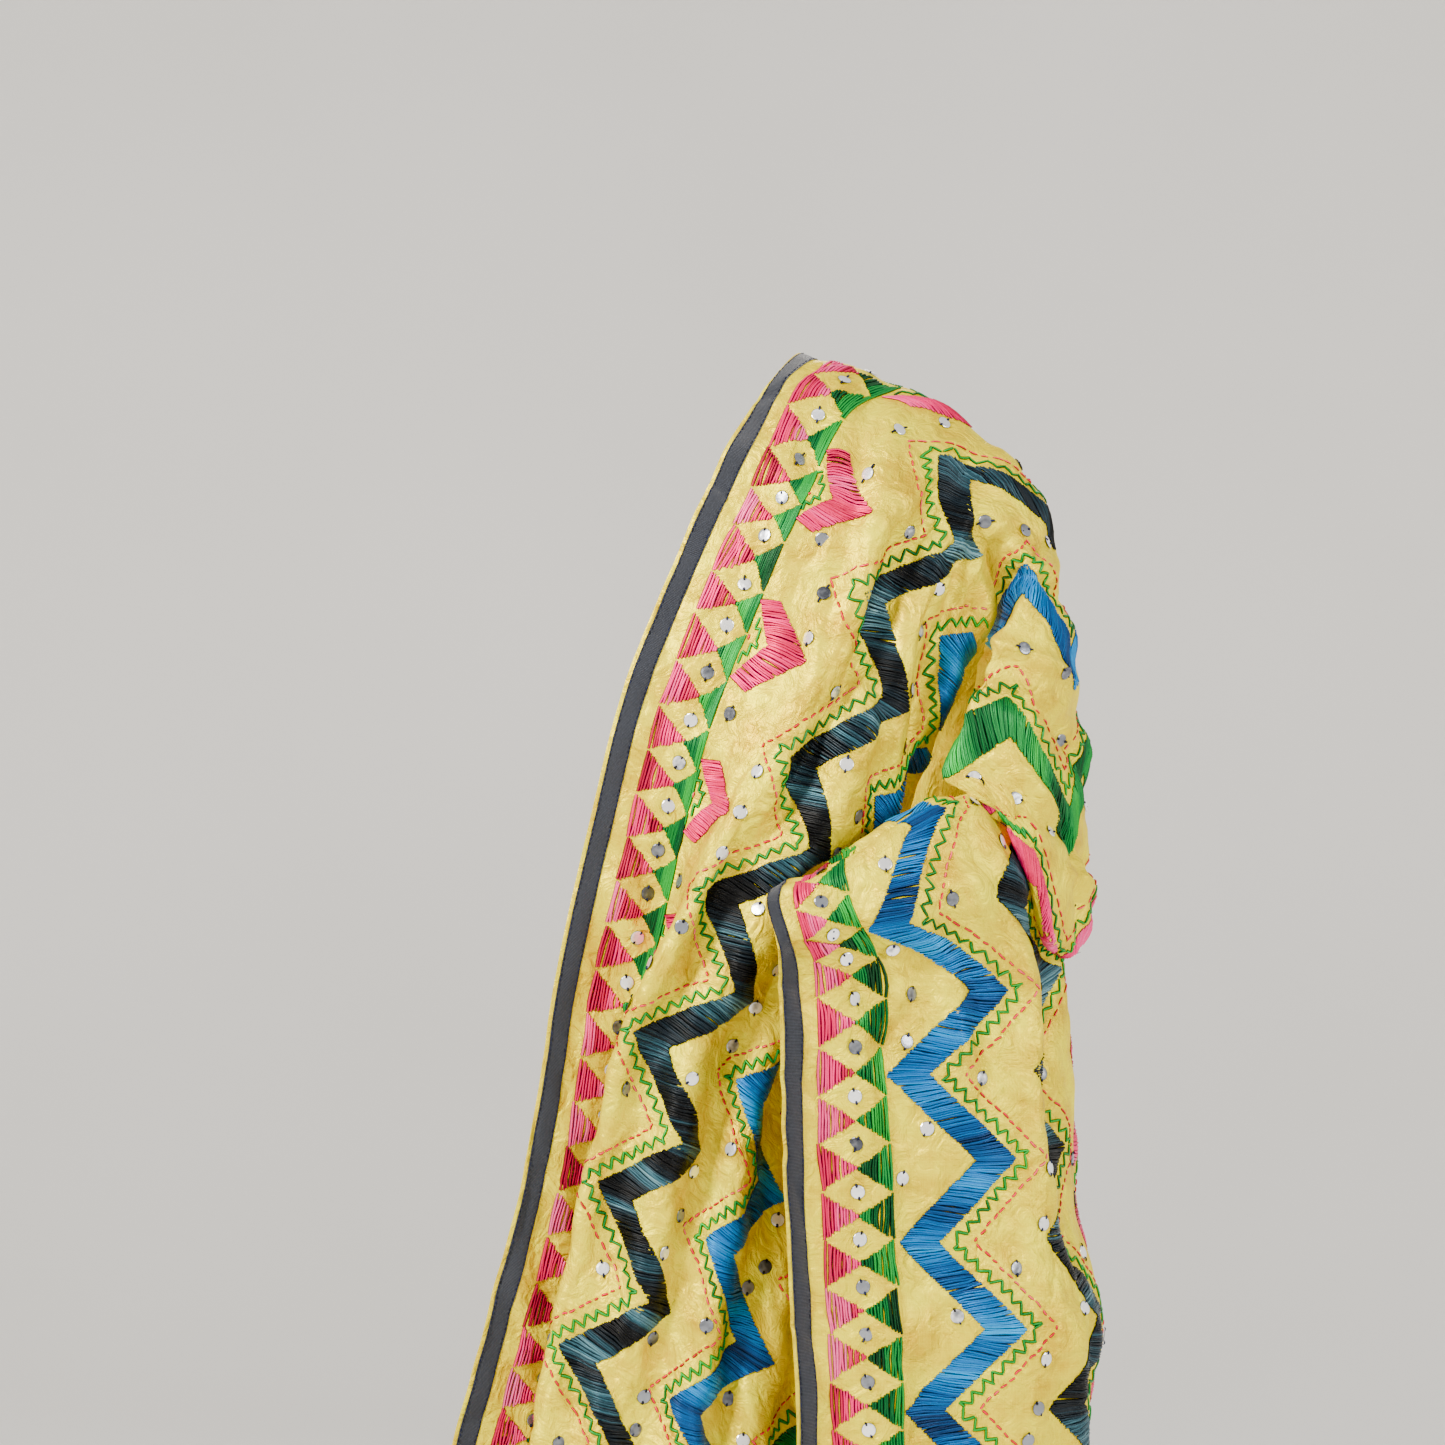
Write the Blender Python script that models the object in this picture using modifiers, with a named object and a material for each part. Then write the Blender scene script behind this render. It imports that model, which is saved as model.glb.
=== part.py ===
"""Embroidered dupatta worn open over the left shoulder and the bent left forearm.

One cloth, 2.4 m long and about 1 m wide, hangs over a ridge that runs from the neck over
the shoulder, down the outside of the upper arm and along the forearm to the wrist. Each
stretch of it that shows is its own wall, and each stretch of the woven edge tape is a strip
laid on its wall. Lengths are metres. The tables give places as a viewer in front of the
turned wearer sees them: x to the right, out towards the viewer and z up from the shoulder.
"""

import math
from collections import namedtuple

import bmesh
import bpy
import numpy as np

COLLECTION = "embroidered_dupatta"
TURN = math.radians(15.0)  # the wearer stands turned, the left arm towards the viewer
WALL = 0.0020
TAPE_WALL = 0.0012
SEAM = 0.0003
TAPE_WIDTH = 0.016
YOKE_WIDTH = 0.262  # cloth along the ridge from the neck to where the sleeve begins
BACK_WIDTH = 0.58  # cloth across the back fall

# Cloth over the shoulder. A row is a line over the shoulder at a distance along the ridge;
# it starts on the front fall's first row and goes back. Each place is x, out, z.
Arch = namedtuple("Arch", "along breast top blade back")
YOKE = (
    Arch(0.000, (-0.120, 0.050, 0.003), (-0.094, 0.008, 0.029), (-0.090, -0.045, 0.006),
         (-0.098, -0.085, -0.040)),
    Arch(0.050, (-0.079, 0.056, -0.004), (-0.046, 0.004, 0.018), (-0.044, -0.050, -0.006),
         (-0.050, -0.092, -0.056)),
    Arch(0.100, (-0.036, 0.056, -0.022), (0.000, 0.000, 0.000), (-0.002, -0.052, -0.024),
         (-0.006, -0.094, -0.078)),
    Arch(0.155, (0.008, 0.056, -0.050), (0.047, 0.000, -0.030), (0.042, -0.052, -0.054),
         (0.036, -0.090, -0.106)),
    Arch(0.210, (0.048, 0.054, -0.082), (0.092, 0.000, -0.068), (0.082, -0.048, -0.092),
         (0.072, -0.080, -0.142)),
    Arch(0.262, (0.082, 0.046, -0.126), (0.112, 0.000, -0.116), (0.106, -0.044, -0.128),
         (0.096, -0.070, -0.176)),
)

# Cloth round the upper arm. A row is a section across the arm at a distance along the
# ridge, from the layer turned in behind the front fold, round the arm, to the back. The
# first section is the yoke's last row, read at these of its places.
YOKE_PLACES = (0.0, 0.5, 1.0, 1.5, 2.0, 3.0, 4.0)
Ring = namedtuple("Ring", "along tucked bay fold front outer rear back")
SLEEVE = (
    Ring(0.310, (0.060, 0.006, -0.182), (0.080, 0.040, -0.160), (0.094, 0.056, -0.156),
         (0.113, 0.038, -0.156), (0.120, 0.000, -0.158), (0.112, -0.048, -0.168),
         (0.088, -0.082, -0.214)),
    Ring(0.365, (0.050, 0.002, -0.236), (0.070, 0.048, -0.206), (0.062, 0.080, -0.208),
         (0.104, 0.064, -0.206), (0.131, 0.004, -0.211), (0.120, -0.054, -0.220),
         (0.084, -0.094, -0.262)),
    Ring(0.430, (0.044, 0.002, -0.286), (0.062, 0.050, -0.250), (0.040, 0.090, -0.260),
         (0.096, 0.082, -0.268), (0.134, 0.006, -0.280), (0.122, -0.058, -0.284),
         (0.082, -0.104, -0.322)),
    Ring(0.490, (0.042, 0.004, -0.330), (0.056, 0.052, -0.290), (0.020, 0.094, -0.314),
         (0.092, 0.092, -0.330), (0.138, 0.008, -0.345), (0.124, -0.062, -0.344),
         (0.080, -0.110, -0.380)),
    Ring(0.540, (0.046, 0.008, -0.352), (0.066, 0.052, -0.308), (0.044, 0.098, -0.312),
         (0.092, 0.106, -0.378), (0.142, 0.012, -0.400), (0.126, -0.064, -0.392),
         (0.080, -0.114, -0.424)),
    Ring(0.575, (0.056, 0.012, -0.366), (0.074, 0.052, -0.322), (0.066, 0.100, -0.326),
         (0.098, 0.104, -0.430), (0.134, 0.020, -0.444), (0.122, -0.062, -0.424),
         (0.080, -0.114, -0.452)),
)


def blend(values, at):
    """A smooth curve through evenly numbered values, read at the numbers in at."""
    values = np.asarray(values, float)
    at = np.clip(np.asarray(at, float), 0.0, len(values) - 1.0)
    low = np.minimum(at.astype(int), len(values) - 2)
    share = (at - low).reshape((-1,) + (1,) * (values.ndim - 1))
    before, start = values[np.maximum(low - 1, 0)], values[low]
    end, after = values[low + 1], values[np.minimum(low + 2, len(values) - 1)]
    return 0.5 * (
        2 * start
        + (end - before) * share
        + (2 * before - 5 * start + 4 * end - after) * share**2
        + (3 * start - before - 3 * end + after) * share**3
    )


def loft(net, rows, columns):
    """A finer grid of points through a coarse net of places, as an array rows x columns x 3."""
    net = np.asarray(net, float)
    down = blend(net, np.linspace(0, len(net) - 1, rows))
    across = blend(down.transpose(1, 0, 2), np.linspace(0, net.shape[1] - 1, columns))
    return across.transpose(1, 0, 2)


def place(view):
    """Places as the viewer sees them (x, out, z), turned to the wearer's own frame."""
    view = np.asarray(view, float)
    x, y = view[..., 0], -view[..., 1]
    return np.stack([x * math.cos(TURN) - y * math.sin(TURN),
                     x * math.sin(TURN) + y * math.cos(TURN), view[..., 2]], axis=-1)


def hump(at, middle, half):
    """One smooth rise and fall, 1 at the middle and 0 from half a width away."""
    t = np.clip(np.abs(np.asarray(at, float) - middle) / half, 0.0, 1.0)
    return 0.5 + 0.5 * np.cos(math.pi * t)


def ramp(at, start, end):
    """A smooth step from 0 at start to 1 at end."""
    t = np.clip((np.asarray(at, float) - start) / (end - start), 0.0, 1.0)
    return t * t * (3.0 - 2.0 * t)


STEP = 0.001  # the length of cloth that a walk lays at a time


def walk(start, length, heading, slope, count):
    """Lays one row of cloth from a place: at each step it goes across, turned by a heading
    towards the viewer, and down by a slope. It gives count places evenly along the cloth."""
    along = np.arange(0.0, length + STEP, STEP)
    middle = along[:-1] + STEP / 2
    turn, drop = np.radians(heading(middle)), np.radians(slope(middle))
    steps = np.stack([np.cos(turn) * np.cos(drop), np.sin(turn), -np.cos(turn) * np.sin(drop)], -1)
    path = np.vstack([np.zeros(3), np.cumsum(steps * STEP, axis=0)]) + np.asarray(start, float)
    at = np.linspace(0.0, length, count)
    return np.stack([np.interp(at, along, path[:, axis]) for axis in range(3)], axis=-1)


# The front fall, from the breast edge across the front to behind the forearm. A row lies at
# a reach down the cloth from the ridge. It starts at the edge's place and drops by tilt, and
# past the middle by lean. pleat folds the cloth over its border, ease waves it, and tuck
# turns it in behind the arm, all in degrees. width is the cloth's from edge to edge.
Fall = namedtuple("Fall", "reach width x out z tilt lean bow pleat ease tuck")
FRONT = (
    Fall(0.12, 0.262, -0.153, 0.085, -0.049, 21, 34, 34, 0, 44, -10),
    Fall(0.16, 0.300, -0.168, 0.094, -0.081, 22, 42, 34, 0, 48, -20),
    Fall(0.22, 0.325, -0.192, 0.105, -0.135, 24, 52, 30, 10, 52, -36),
    Fall(0.33, 0.380, -0.234, 0.120, -0.240, 24, 58, 24, 40, 52, -60),
    Fall(0.45, 0.430, -0.262, 0.120, -0.350, 24, 52, 20, 100, 50, -66),
    Fall(0.58, 0.460, -0.289, 0.116, -0.472, 25, 42, 14, 150, 46, -50),
    Fall(0.72, 0.470, -0.309, 0.116, -0.603, 26, 32, 0, 176, 42, -36),
    Fall(0.86, 0.470, -0.342, 0.118, -0.737, 25, 28, 0, 170, 40, -26),
    Fall(1.00, 0.470, -0.375, 0.118, -0.866, 22, 24, 0, 150, 38, -20),
    Fall(1.20, 0.470, -0.402, 0.118, -1.060, 18, 20, 0, 110, 38, -16),
)
PLEAT_AT = 0.112  # cloth from the breast edge to the middle of the pleat
PLEAT_HALF = 0.050
EASE_WAVE = 0.075  # cloth from one soft fold to the next
EASE_DRIFT = 2.2  # how far the soft folds run sideways down the cloth, in radians a metre
BORDER_SINK = 0.10  # how much the border turns away from the viewer, for each degree of pleat
BOW_START, BOW_END = 0.35, -1.0  # shares of the bow at the breast edge and past the middle
# Where each of these turns begins and ends, in cloth from the breast edge
SINK_TURN = (0.05, 0.19)
BOW_TURN = (0.03, 0.24)
EASE_TURN = (0.11, 0.16)
TUCK_TURN = (0.24, 0.30)
LEAN_TURN = (0.20, 0.30)


def front_row(fall, count):
    """One row of the front fall."""
    def heading(v):
        wave = np.sin(2 * math.pi * (v - PLEAT_AT) / EASE_WAVE + EASE_DRIFT * fall.reach)
        eased = fall.ease * wave * ramp(v, *EASE_TURN)
        sunk = -BORDER_SINK * fall.pleat * (1.0 - ramp(v, *SINK_TURN))
        bowed = fall.bow * (BOW_START + (BOW_END - BOW_START) * ramp(v, *BOW_TURN))
        folded = fall.pleat * hump(v, PLEAT_AT, PLEAT_HALF)
        return sunk + bowed + folded + eased + fall.tuck * ramp(v, *TUCK_TURN)

    def slope(v):
        return fall.tilt + (fall.lean - fall.tilt) * ramp(v, *LEAN_TURN)

    return walk((fall.x, fall.out, fall.z), fall.width, heading, slope, count)


# The stretch that hangs from the forearm, from the wrist edge across the front and round
# the outside to the back. front and side are the headings of its two faces, and pleat
# folds the outer face in behind the front one.
Drop = namedtuple("Drop", "x out z front side pleat ease turn_at end_x end_out")
FOREARM_FALL = (
    Drop(-0.113, 0.196, -0.470, -20, -84, -120, 16, 0.300, 0.090, -0.112),
    Drop(-0.112, 0.190, -0.560, -16, -80, -150, 16, 0.310, 0.104, -0.106),
    Drop(-0.108, 0.184, -0.660, -14, -88, -90, 18, 0.275, 0.108, -0.104),
    Drop(-0.103, 0.180, -0.750, -10, -92, -30, 20, 0.265, 0.108, -0.104),
    Drop(-0.098, 0.178, -0.850, -12, -92, 0, 24, 0.235, 0.106, -0.106),
    Drop(-0.094, 0.176, -0.960, -12, -90, 0, 26, 0.250, 0.108, -0.106),
    Drop(-0.092, 0.174, -1.080, -12, -88, 0, 28, 0.260, 0.112, -0.104),
)
DROP_WIDTH = 0.485  # cloth from the wrist edge round to the back
DROP_PLEAT_AT = 0.240
DROP_PLEAT_HALF = 0.034
DROP_WAVE = 0.090
DROP_DRIFT = 3.0  # how far its soft folds run sideways down the cloth, in radians a metre
SIDE_TURN_HALF = 0.06  # half the cloth over which the front face turns to the side
INWARD_TURN = (0.40, 0.47)  # where the side turns in towards the back
INWARD_BY = -34.0
DRAWN_FROM = 0.27  # cloth past which a row is drawn to its end place

# The top of that stretch, where it comes off the forearm: places from the wrist edge along
# the forearm, round the elbow inside the sleeve, to the back.
FOREARM_RIDGE = (
    (-0.124, 0.195, -0.410), (-0.094, 0.192, -0.398), (-0.064, 0.180, -0.386),
    (-0.030, 0.168, -0.368), (0.004, 0.154, -0.350), (0.036, 0.134, -0.342),
    (0.066, 0.106, -0.358), (0.090, 0.070, -0.384), (0.108, 0.026, -0.396),
    (0.110, -0.022, -0.398), (0.096, -0.066, -0.414), (0.074, -0.096, -0.440),
)
RIDGE_BELOW = (
    (-0.116, 0.200, -0.436), (-0.086, 0.200, -0.430), (-0.052, 0.192, -0.422),
    (-0.014, 0.182, -0.410), (0.022, 0.166, -0.398), (0.056, 0.142, -0.394),
    (0.084, 0.108, -0.408), (0.102, 0.070, -0.426), (0.120, 0.024, -0.436),
    (0.120, -0.024, -0.438), (0.104, -0.070, -0.450), (0.078, -0.108, -0.464),
)
RIDGE_INNER = (
    (-0.116, 0.176, -0.396), (-0.088, 0.172, -0.384), (-0.056, 0.160, -0.368),
    (-0.020, 0.146, -0.344), (0.016, 0.130, -0.330), (0.044, 0.108, -0.332),
    (0.062, 0.082, -0.352), (0.074, 0.056, -0.372),
)
RIDGE_BEHIND = (
    (-0.108, 0.160, -0.418), (-0.080, 0.152, -0.404), (-0.050, 0.140, -0.388),
    (-0.016, 0.124, -0.366), (0.012, 0.106, -0.350), (0.036, 0.084, -0.348),
    (0.050, 0.062, -0.364), (0.058, 0.044, -0.384),
)
RIDGE_DOWN = (
    (-0.106, 0.156, -0.452), (-0.078, 0.146, -0.438), (-0.050, 0.132, -0.420),
    (-0.018, 0.114, -0.400), (0.008, 0.094, -0.386), (0.028, 0.072, -0.384),
    (0.042, 0.052, -0.398), (0.050, 0.036, -0.416),
)


def drop_row(drop, count):
    """One row of the stretch that hangs from the forearm."""
    def heading(v):
        wave = drop.ease * np.sin(2 * math.pi * v / DROP_WAVE + DROP_DRIFT * drop.z)
        turned = ramp(v, drop.turn_at - SIDE_TURN_HALF, drop.turn_at + SIDE_TURN_HALF)
        face = drop.front + (drop.side - drop.front) * turned
        inward = INWARD_BY * ramp(v, *INWARD_TURN)
        return face + inward + wave + drop.pleat * hump(v, DROP_PLEAT_AT, DROP_PLEAT_HALF)

    def slope(v):
        return np.zeros_like(v)

    row = walk((drop.x, drop.out, drop.z), DROP_WIDTH, heading, slope, count)
    drawn = np.array([drop.end_x, drop.end_out, drop.z]) - row[-1]
    return row + drawn * ramp(np.linspace(0.0, DROP_WIDTH, count), DRAWN_FROM, DROP_WIDTH)[:, None]


# The back fall, from the nape edge across the back to the stretch off the forearm. Its first
# row is the back edge of the yoke and of the sleeve; a row below them ends on that stretch.
Hang = namedtuple("Hang", "nape_x nape_out z drop fold")
BACK = (
    Hang(-0.128, -0.112, -0.210, 0.270, 0.008),
    Hang(-0.150, -0.122, -0.360, 0.200, 0.014),
    Hang(-0.172, -0.128, -0.520, 0.110, 0.020),
    Hang(-0.200, -0.130, -0.690, 0.050, 0.024),
    Hang(-0.228, -0.130, -0.870, 0.020, 0.028),
    Hang(-0.256, -0.130, -1.072, 0.008, 0.030),
)
BACK_FOLDS = 5
BACK_UNEVEN = 0.6  # how far the folds are from evenly spaced, in radians
BACK_SWELL = 0.014
SIDE_FROM = 0.2  # share of a row past which it drops towards the side


def back_row(hang, side, count):
    """One row of the back fall to its place on the side, with folds that deepen downwards."""
    s = np.linspace(0.0, 1.0, count)[:, None]
    nape = np.array([hang.nape_x, hang.nape_out, hang.z])
    fold = hang.fold * np.sin(2 * math.pi * BACK_FOLDS * s + BACK_UNEVEN * np.sin(BACK_FOLDS * s))
    sunk = (fold - BACK_SWELL) * np.sin(math.pi * s)
    straight = nape + (np.asarray(side) - nape) * s
    straight[:, 2] = hang.z + (side[2] - hang.z) * ramp(s[:, 0], SIDE_FROM, 1.0)
    return straight + sunk * np.array([0.0, 1.0, 0.0])


# Sizes of the faceted grids: rows along the fall of the cloth by columns across it.
FRONT_GRID = (21, 49)
DROP_GRID = (17, 49)
BACK_GRID = (13, 41)
YOKE_GRID = (12, 13)
SLEEVE_GRID = (19, 25)
WRAP_GRID = (13, 17)


def front_grid():
    """The front fall, its rows evenly down the cloth."""
    rows = [front_row(fall, FRONT_GRID[1]) for fall in FRONT]
    reach = np.linspace(FRONT[0].reach, FRONT[-1].reach, FRONT_GRID[0])
    return blend(rows, np.interp(reach, [fall.reach for fall in FRONT], range(len(FRONT))))


def yoke_grid(front):
    """The cloth over the shoulder, from the front fall's first row to the back."""
    across = np.linspace(0.0, FRONT[0].width, len(front))
    net = []
    for arch in YOKE:
        joined = [np.interp(arch.along, across, front[:, axis]) for axis in range(3)]
        net.append([joined, arch.breast, arch.top, arch.blade, arch.back])
    along = np.linspace(0.0, YOKE_WIDTH, YOKE_GRID[0])
    rows = blend(net, np.interp(along, [arch.along for arch in YOKE], range(len(YOKE))))
    return blend(rows.transpose(1, 0, 2), np.linspace(0, 4, YOKE_GRID[1])).transpose(1, 0, 2)


def sleeve_grid(yoke):
    """The cloth round the upper arm, from the yoke's last row to the rim at the elbow."""
    places = np.array(YOKE_PLACES) / YOKE_PLACES[-1] * (len(yoke[-1]) - 1)
    return loft([blend(yoke[-1], places)] + [ring[1:] for ring in SLEEVE], *SLEEVE_GRID)


def drop_grid():
    """The stretch that hangs from the forearm, with its top on the forearm ridge."""
    columns = DROP_GRID[1]
    top = [blend(line, np.linspace(0, len(line) - 1, columns)) for line in (FOREARM_RIDGE, RIDGE_BELOW)]
    net = top + [drop_row(drop, columns) for drop in FOREARM_FALL]
    return blend(net, np.linspace(0, len(net) - 1, DROP_GRID[0]))


def wrap_grid():
    """The cloth rolled over the forearm, from the forearm ridge to behind the arm."""
    line = np.linspace(0, len(FOREARM_RIDGE) - 1, DROP_GRID[1])
    kept = line[line <= len(RIDGE_INNER) - 1]
    net = [blend(FOREARM_RIDGE, kept)]
    net += [blend(row, kept) for row in (RIDGE_INNER, RIDGE_BEHIND, RIDGE_DOWN)]
    return blend(net, np.linspace(0, len(net) - 1, WRAP_GRID[0]))


def back_grid(yoke, sleeve, drop):
    """The back fall, hung from the backs of the yoke and the sleeve."""
    columns = BACK_GRID[1]
    edge = np.vstack([yoke[:, -1], sleeve[1:, -1]])
    run = np.concatenate([np.linspace(0, YOKE_WIDTH, len(yoke)),
                          np.linspace(YOKE_WIDTH, BACK_WIDTH, len(sleeve))[1:]])
    even = np.linspace(0, BACK_WIDTH, columns)
    net = [np.stack([np.interp(even, run, edge[:, axis]) for axis in range(3)], -1)]
    side = drop[::-1, -1]
    for hang in BACK:
        z = hang.z - hang.drop
        net.append(back_row(hang, [np.interp(z, side[:, 2], side[:, axis]) for axis in range(3)], columns))
    return blend(net, np.linspace(0, len(net) - 1, BACK_GRID[0]))


def normals(grid):
    """The way each point of a grid faces, a unit vector."""
    facing = np.cross(np.gradient(grid, axis=1), np.gradient(grid, axis=0))
    return facing / np.linalg.norm(facing, axis=-1, keepdims=True)


def trimmed(grid, gap, top=False, bottom=False, left=False, right=False):
    """The grid with the named edges drawn in by the gap that a seam keeps."""
    grid = grid.copy()
    for wanted, edge, inner in ((top, np.s_[0], np.s_[1]), (bottom, np.s_[-1], np.s_[-2]),
                                (left, np.s_[:, 0], np.s_[:, 1]), (right, np.s_[:, -1], np.s_[:, -2])):
        if wanted:
            toward = grid[inner] - grid[edge]
            size = np.linalg.norm(toward, axis=-1, keepdims=True)
            grid[edge] = grid[edge] + toward / size * np.minimum(gap, 0.4 * size)
    return grid


TAPE_START = 0.03  # where a tape starts, as a share of the cloth grid's first column
WRAP_SEAM = 4 * SEAM  # a wider seam where two stretches meet at an angle
BACK_SEAM = 8 * SEAM
FRONT_SEAM = 7 * SEAM


def tape_on(grid, face=1.0):
    """A strip of three columns that lies on the first columns of a cloth grid."""
    pitch = np.linalg.norm(grid[:, 1] - grid[:, 0], axis=-1).mean()
    lift = normals(grid) * face * (WALL / 2 + SEAM + TAPE_WALL / 2)
    raised = grid + lift
    columns = []
    for across in (TAPE_START * pitch, pitch, TAPE_WIDTH):
        low = int(across / pitch)
        share = across / pitch - low
        columns.append(raised[:, low] * (1 - share) + raised[:, low + 1] * share)
    return np.stack(columns, axis=1)


def material(name, colour, roughness):
    """A cloth's plain colour in linear light."""
    made = bpy.data.materials.new(name)
    made.use_nodes = True
    shader = made.node_tree.nodes["Principled BSDF"]
    shader.inputs["Base Color"].default_value = (*colour, 1.0)
    shader.inputs["Roughness"].default_value = roughness
    shader.inputs["Metallic"].default_value = 0.0
    return made


def wall(name, grid, thickness, finish, collection):
    """One piece of cloth: an open surface through the grid's points, given its thickness."""
    points = place(grid)
    mesh = bpy.data.meshes.new(name)
    built = bmesh.new()
    rows, columns = grid.shape[:2]
    corners = [[built.verts.new(points[i, j]) for j in range(columns)] for i in range(rows)]
    for i in range(rows - 1):
        for j in range(columns - 1):
            built.faces.new((corners[i][j], corners[i + 1][j], corners[i + 1][j + 1], corners[i][j + 1]))
    built.to_mesh(mesh)
    built.free()
    mesh.shade_smooth()
    mesh.materials.append(finish)
    piece = bpy.data.objects.new(name, mesh)
    collection.objects.link(piece)
    shell = piece.modifiers.new("wall", "SOLIDIFY")
    shell.thickness = thickness
    shell.offset = 0.0
    return piece


def main():
    for old in list(bpy.data.objects):
        bpy.data.objects.remove(old, do_unlink=True)
    collection = bpy.data.collections.new(COLLECTION)
    bpy.context.scene.collection.children.link(collection)
    silk = material("yellow_silk", (0.76, 0.56, 0.09), 0.45)
    binding = material("grey_binding_tape", (0.10, 0.11, 0.14), 0.80)

    front, drop, wrap = front_grid(), drop_grid(), wrap_grid()
    yoke = yoke_grid(front[0])
    sleeve = sleeve_grid(yoke)
    back = back_grid(yoke, sleeve, drop)
    cloth = {
        "front_fall": trimmed(front, top=True, gap=FRONT_SEAM),
        "shoulder_yoke": trimmed(yoke, bottom=True, right=True, gap=WRAP_SEAM),
        "arm_sleeve": trimmed(sleeve, left=True, right=True, gap=BACK_SEAM),
        "back_fall": trimmed(back, top=True, right=True, gap=BACK_SEAM),
        "forearm_fall": drop,
        "forearm_wrap": trimmed(wrap, top=True, gap=WRAP_SEAM),
    }
    for name, grid in cloth.items():
        wall(name, grid, WALL, silk, collection)
    tapes = {
        "tape_front_edge": tape_on(cloth["front_fall"]),
        "tape_shoulder_edge": tape_on(cloth["shoulder_yoke"].transpose(1, 0, 2), face=-1.0),
        "tape_back_edge": tape_on(cloth["back_fall"], face=-1.0),
        "tape_wrist_edge": tape_on(cloth["forearm_fall"]),
        "tape_wrist_roll": tape_on(cloth["forearm_wrap"], face=-1.0),
    }
    for name, grid in tapes.items():
        wall(name, grid, TAPE_WALL, binding, collection)


main()
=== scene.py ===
"""The looks of an embroidered silk dupatta, worn open over the left shoulder and forearm.

One yellow silk cloth hangs over a ridge that runs from the neck over the shoulder, down the
outside of the upper arm and along the forearm to the wrist. Each stretch that shows is a thin
shell on its solid's form. A place on the cloth has two coordinates in metres: down, from the
ridge towards the front hem (below zero towards the back hem), and across, from the breast edge
to the wrist edge. The embroidery is laid out in those coordinates, so it follows every fold.
"""

import logging
import math
from dataclasses import dataclass, field
from enum import Enum
from math import cos, pi, sin
from typing import Callable, Iterator, NamedTuple, Sequence

import bpy
import numpy as np
from bpy.types import ID, Material, Mesh, Node, NodeSocket, NodeTree, Object
from numpy import ndarray
from numpy.linalg import norm
from numpy.random import Generator, default_rng
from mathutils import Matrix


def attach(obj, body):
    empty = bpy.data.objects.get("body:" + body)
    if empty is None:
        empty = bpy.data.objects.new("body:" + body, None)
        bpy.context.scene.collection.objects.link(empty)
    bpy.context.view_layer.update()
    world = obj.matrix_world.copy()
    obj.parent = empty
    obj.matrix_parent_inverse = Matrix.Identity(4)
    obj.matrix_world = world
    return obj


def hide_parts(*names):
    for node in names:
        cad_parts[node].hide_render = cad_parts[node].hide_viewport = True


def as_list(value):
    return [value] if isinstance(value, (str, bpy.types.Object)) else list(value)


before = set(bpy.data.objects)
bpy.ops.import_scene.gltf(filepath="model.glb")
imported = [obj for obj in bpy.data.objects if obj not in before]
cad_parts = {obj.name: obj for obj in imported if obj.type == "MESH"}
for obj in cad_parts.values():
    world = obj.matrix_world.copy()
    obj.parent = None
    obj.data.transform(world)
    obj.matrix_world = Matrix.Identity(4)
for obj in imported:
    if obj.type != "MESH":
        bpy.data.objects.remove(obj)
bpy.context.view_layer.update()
LOG = logging.getLogger("dupatta")
SEED = 11

TURN = math.radians(15.0)  # the wearer stands turned, the left arm towards the viewer
CLOTH_WIDTH = 0.985  # from the breast edge to the wrist edge
YOKE_WIDTH = 0.262  # cloth along the ridge from the neck to where the sleeve begins
YOKE_REACH = 0.12  # cloth from the ridge to the falls
FALL_REACH = 1.20  # cloth from the ridge to a hem
BACK_WIDTH = 0.58
BACK_SIDE = 0.50  # where the back meets the stretch off the forearm, in cloth across
DROP_WIDTH = 0.485
HEMMED_REACH = 0.48  # a stretch that reaches further from its ridge ends in a hem
STEP = 0.001  # the length of cloth that a walk lays at a time
SHARP = math.radians(50)  # a fold of this or more is drawn as an edge

Pair = tuple[float, float]
Place = tuple[float, float, float]  # x, out, z as the viewer sees them


class Arch(NamedTuple):
    """A line over the shoulder at a distance along the ridge; places are x, out, z."""

    along: float
    breast: Place
    top: Place
    blade: Place
    back: Place


YOKE = (
    Arch(0.000, (-0.120, 0.050, 0.003), (-0.094, 0.008, 0.029), (-0.090, -0.045, 0.006),
         (-0.098, -0.085, -0.040)),
    Arch(0.050, (-0.079, 0.056, -0.004), (-0.046, 0.004, 0.018), (-0.044, -0.050, -0.006),
         (-0.050, -0.092, -0.056)),
    Arch(0.100, (-0.036, 0.056, -0.022), (0.000, 0.000, 0.000), (-0.002, -0.052, -0.024),
         (-0.006, -0.094, -0.078)),
    Arch(0.155, (0.008, 0.056, -0.050), (0.047, 0.000, -0.030), (0.042, -0.052, -0.054),
         (0.036, -0.090, -0.106)),
    Arch(0.210, (0.048, 0.054, -0.082), (0.092, 0.000, -0.068), (0.082, -0.048, -0.092),
         (0.072, -0.080, -0.142)),
    Arch(0.262, (0.082, 0.046, -0.126), (0.112, 0.000, -0.116), (0.106, -0.044, -0.128),
         (0.096, -0.070, -0.176)),
)


class Ring(NamedTuple):
    """A section across the upper arm, from the layer tucked in behind the fold to the back."""

    along: float
    tucked: Place
    bay: Place
    fold: Place
    front: Place
    outer: Place
    rear: Place
    back: Place


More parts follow.
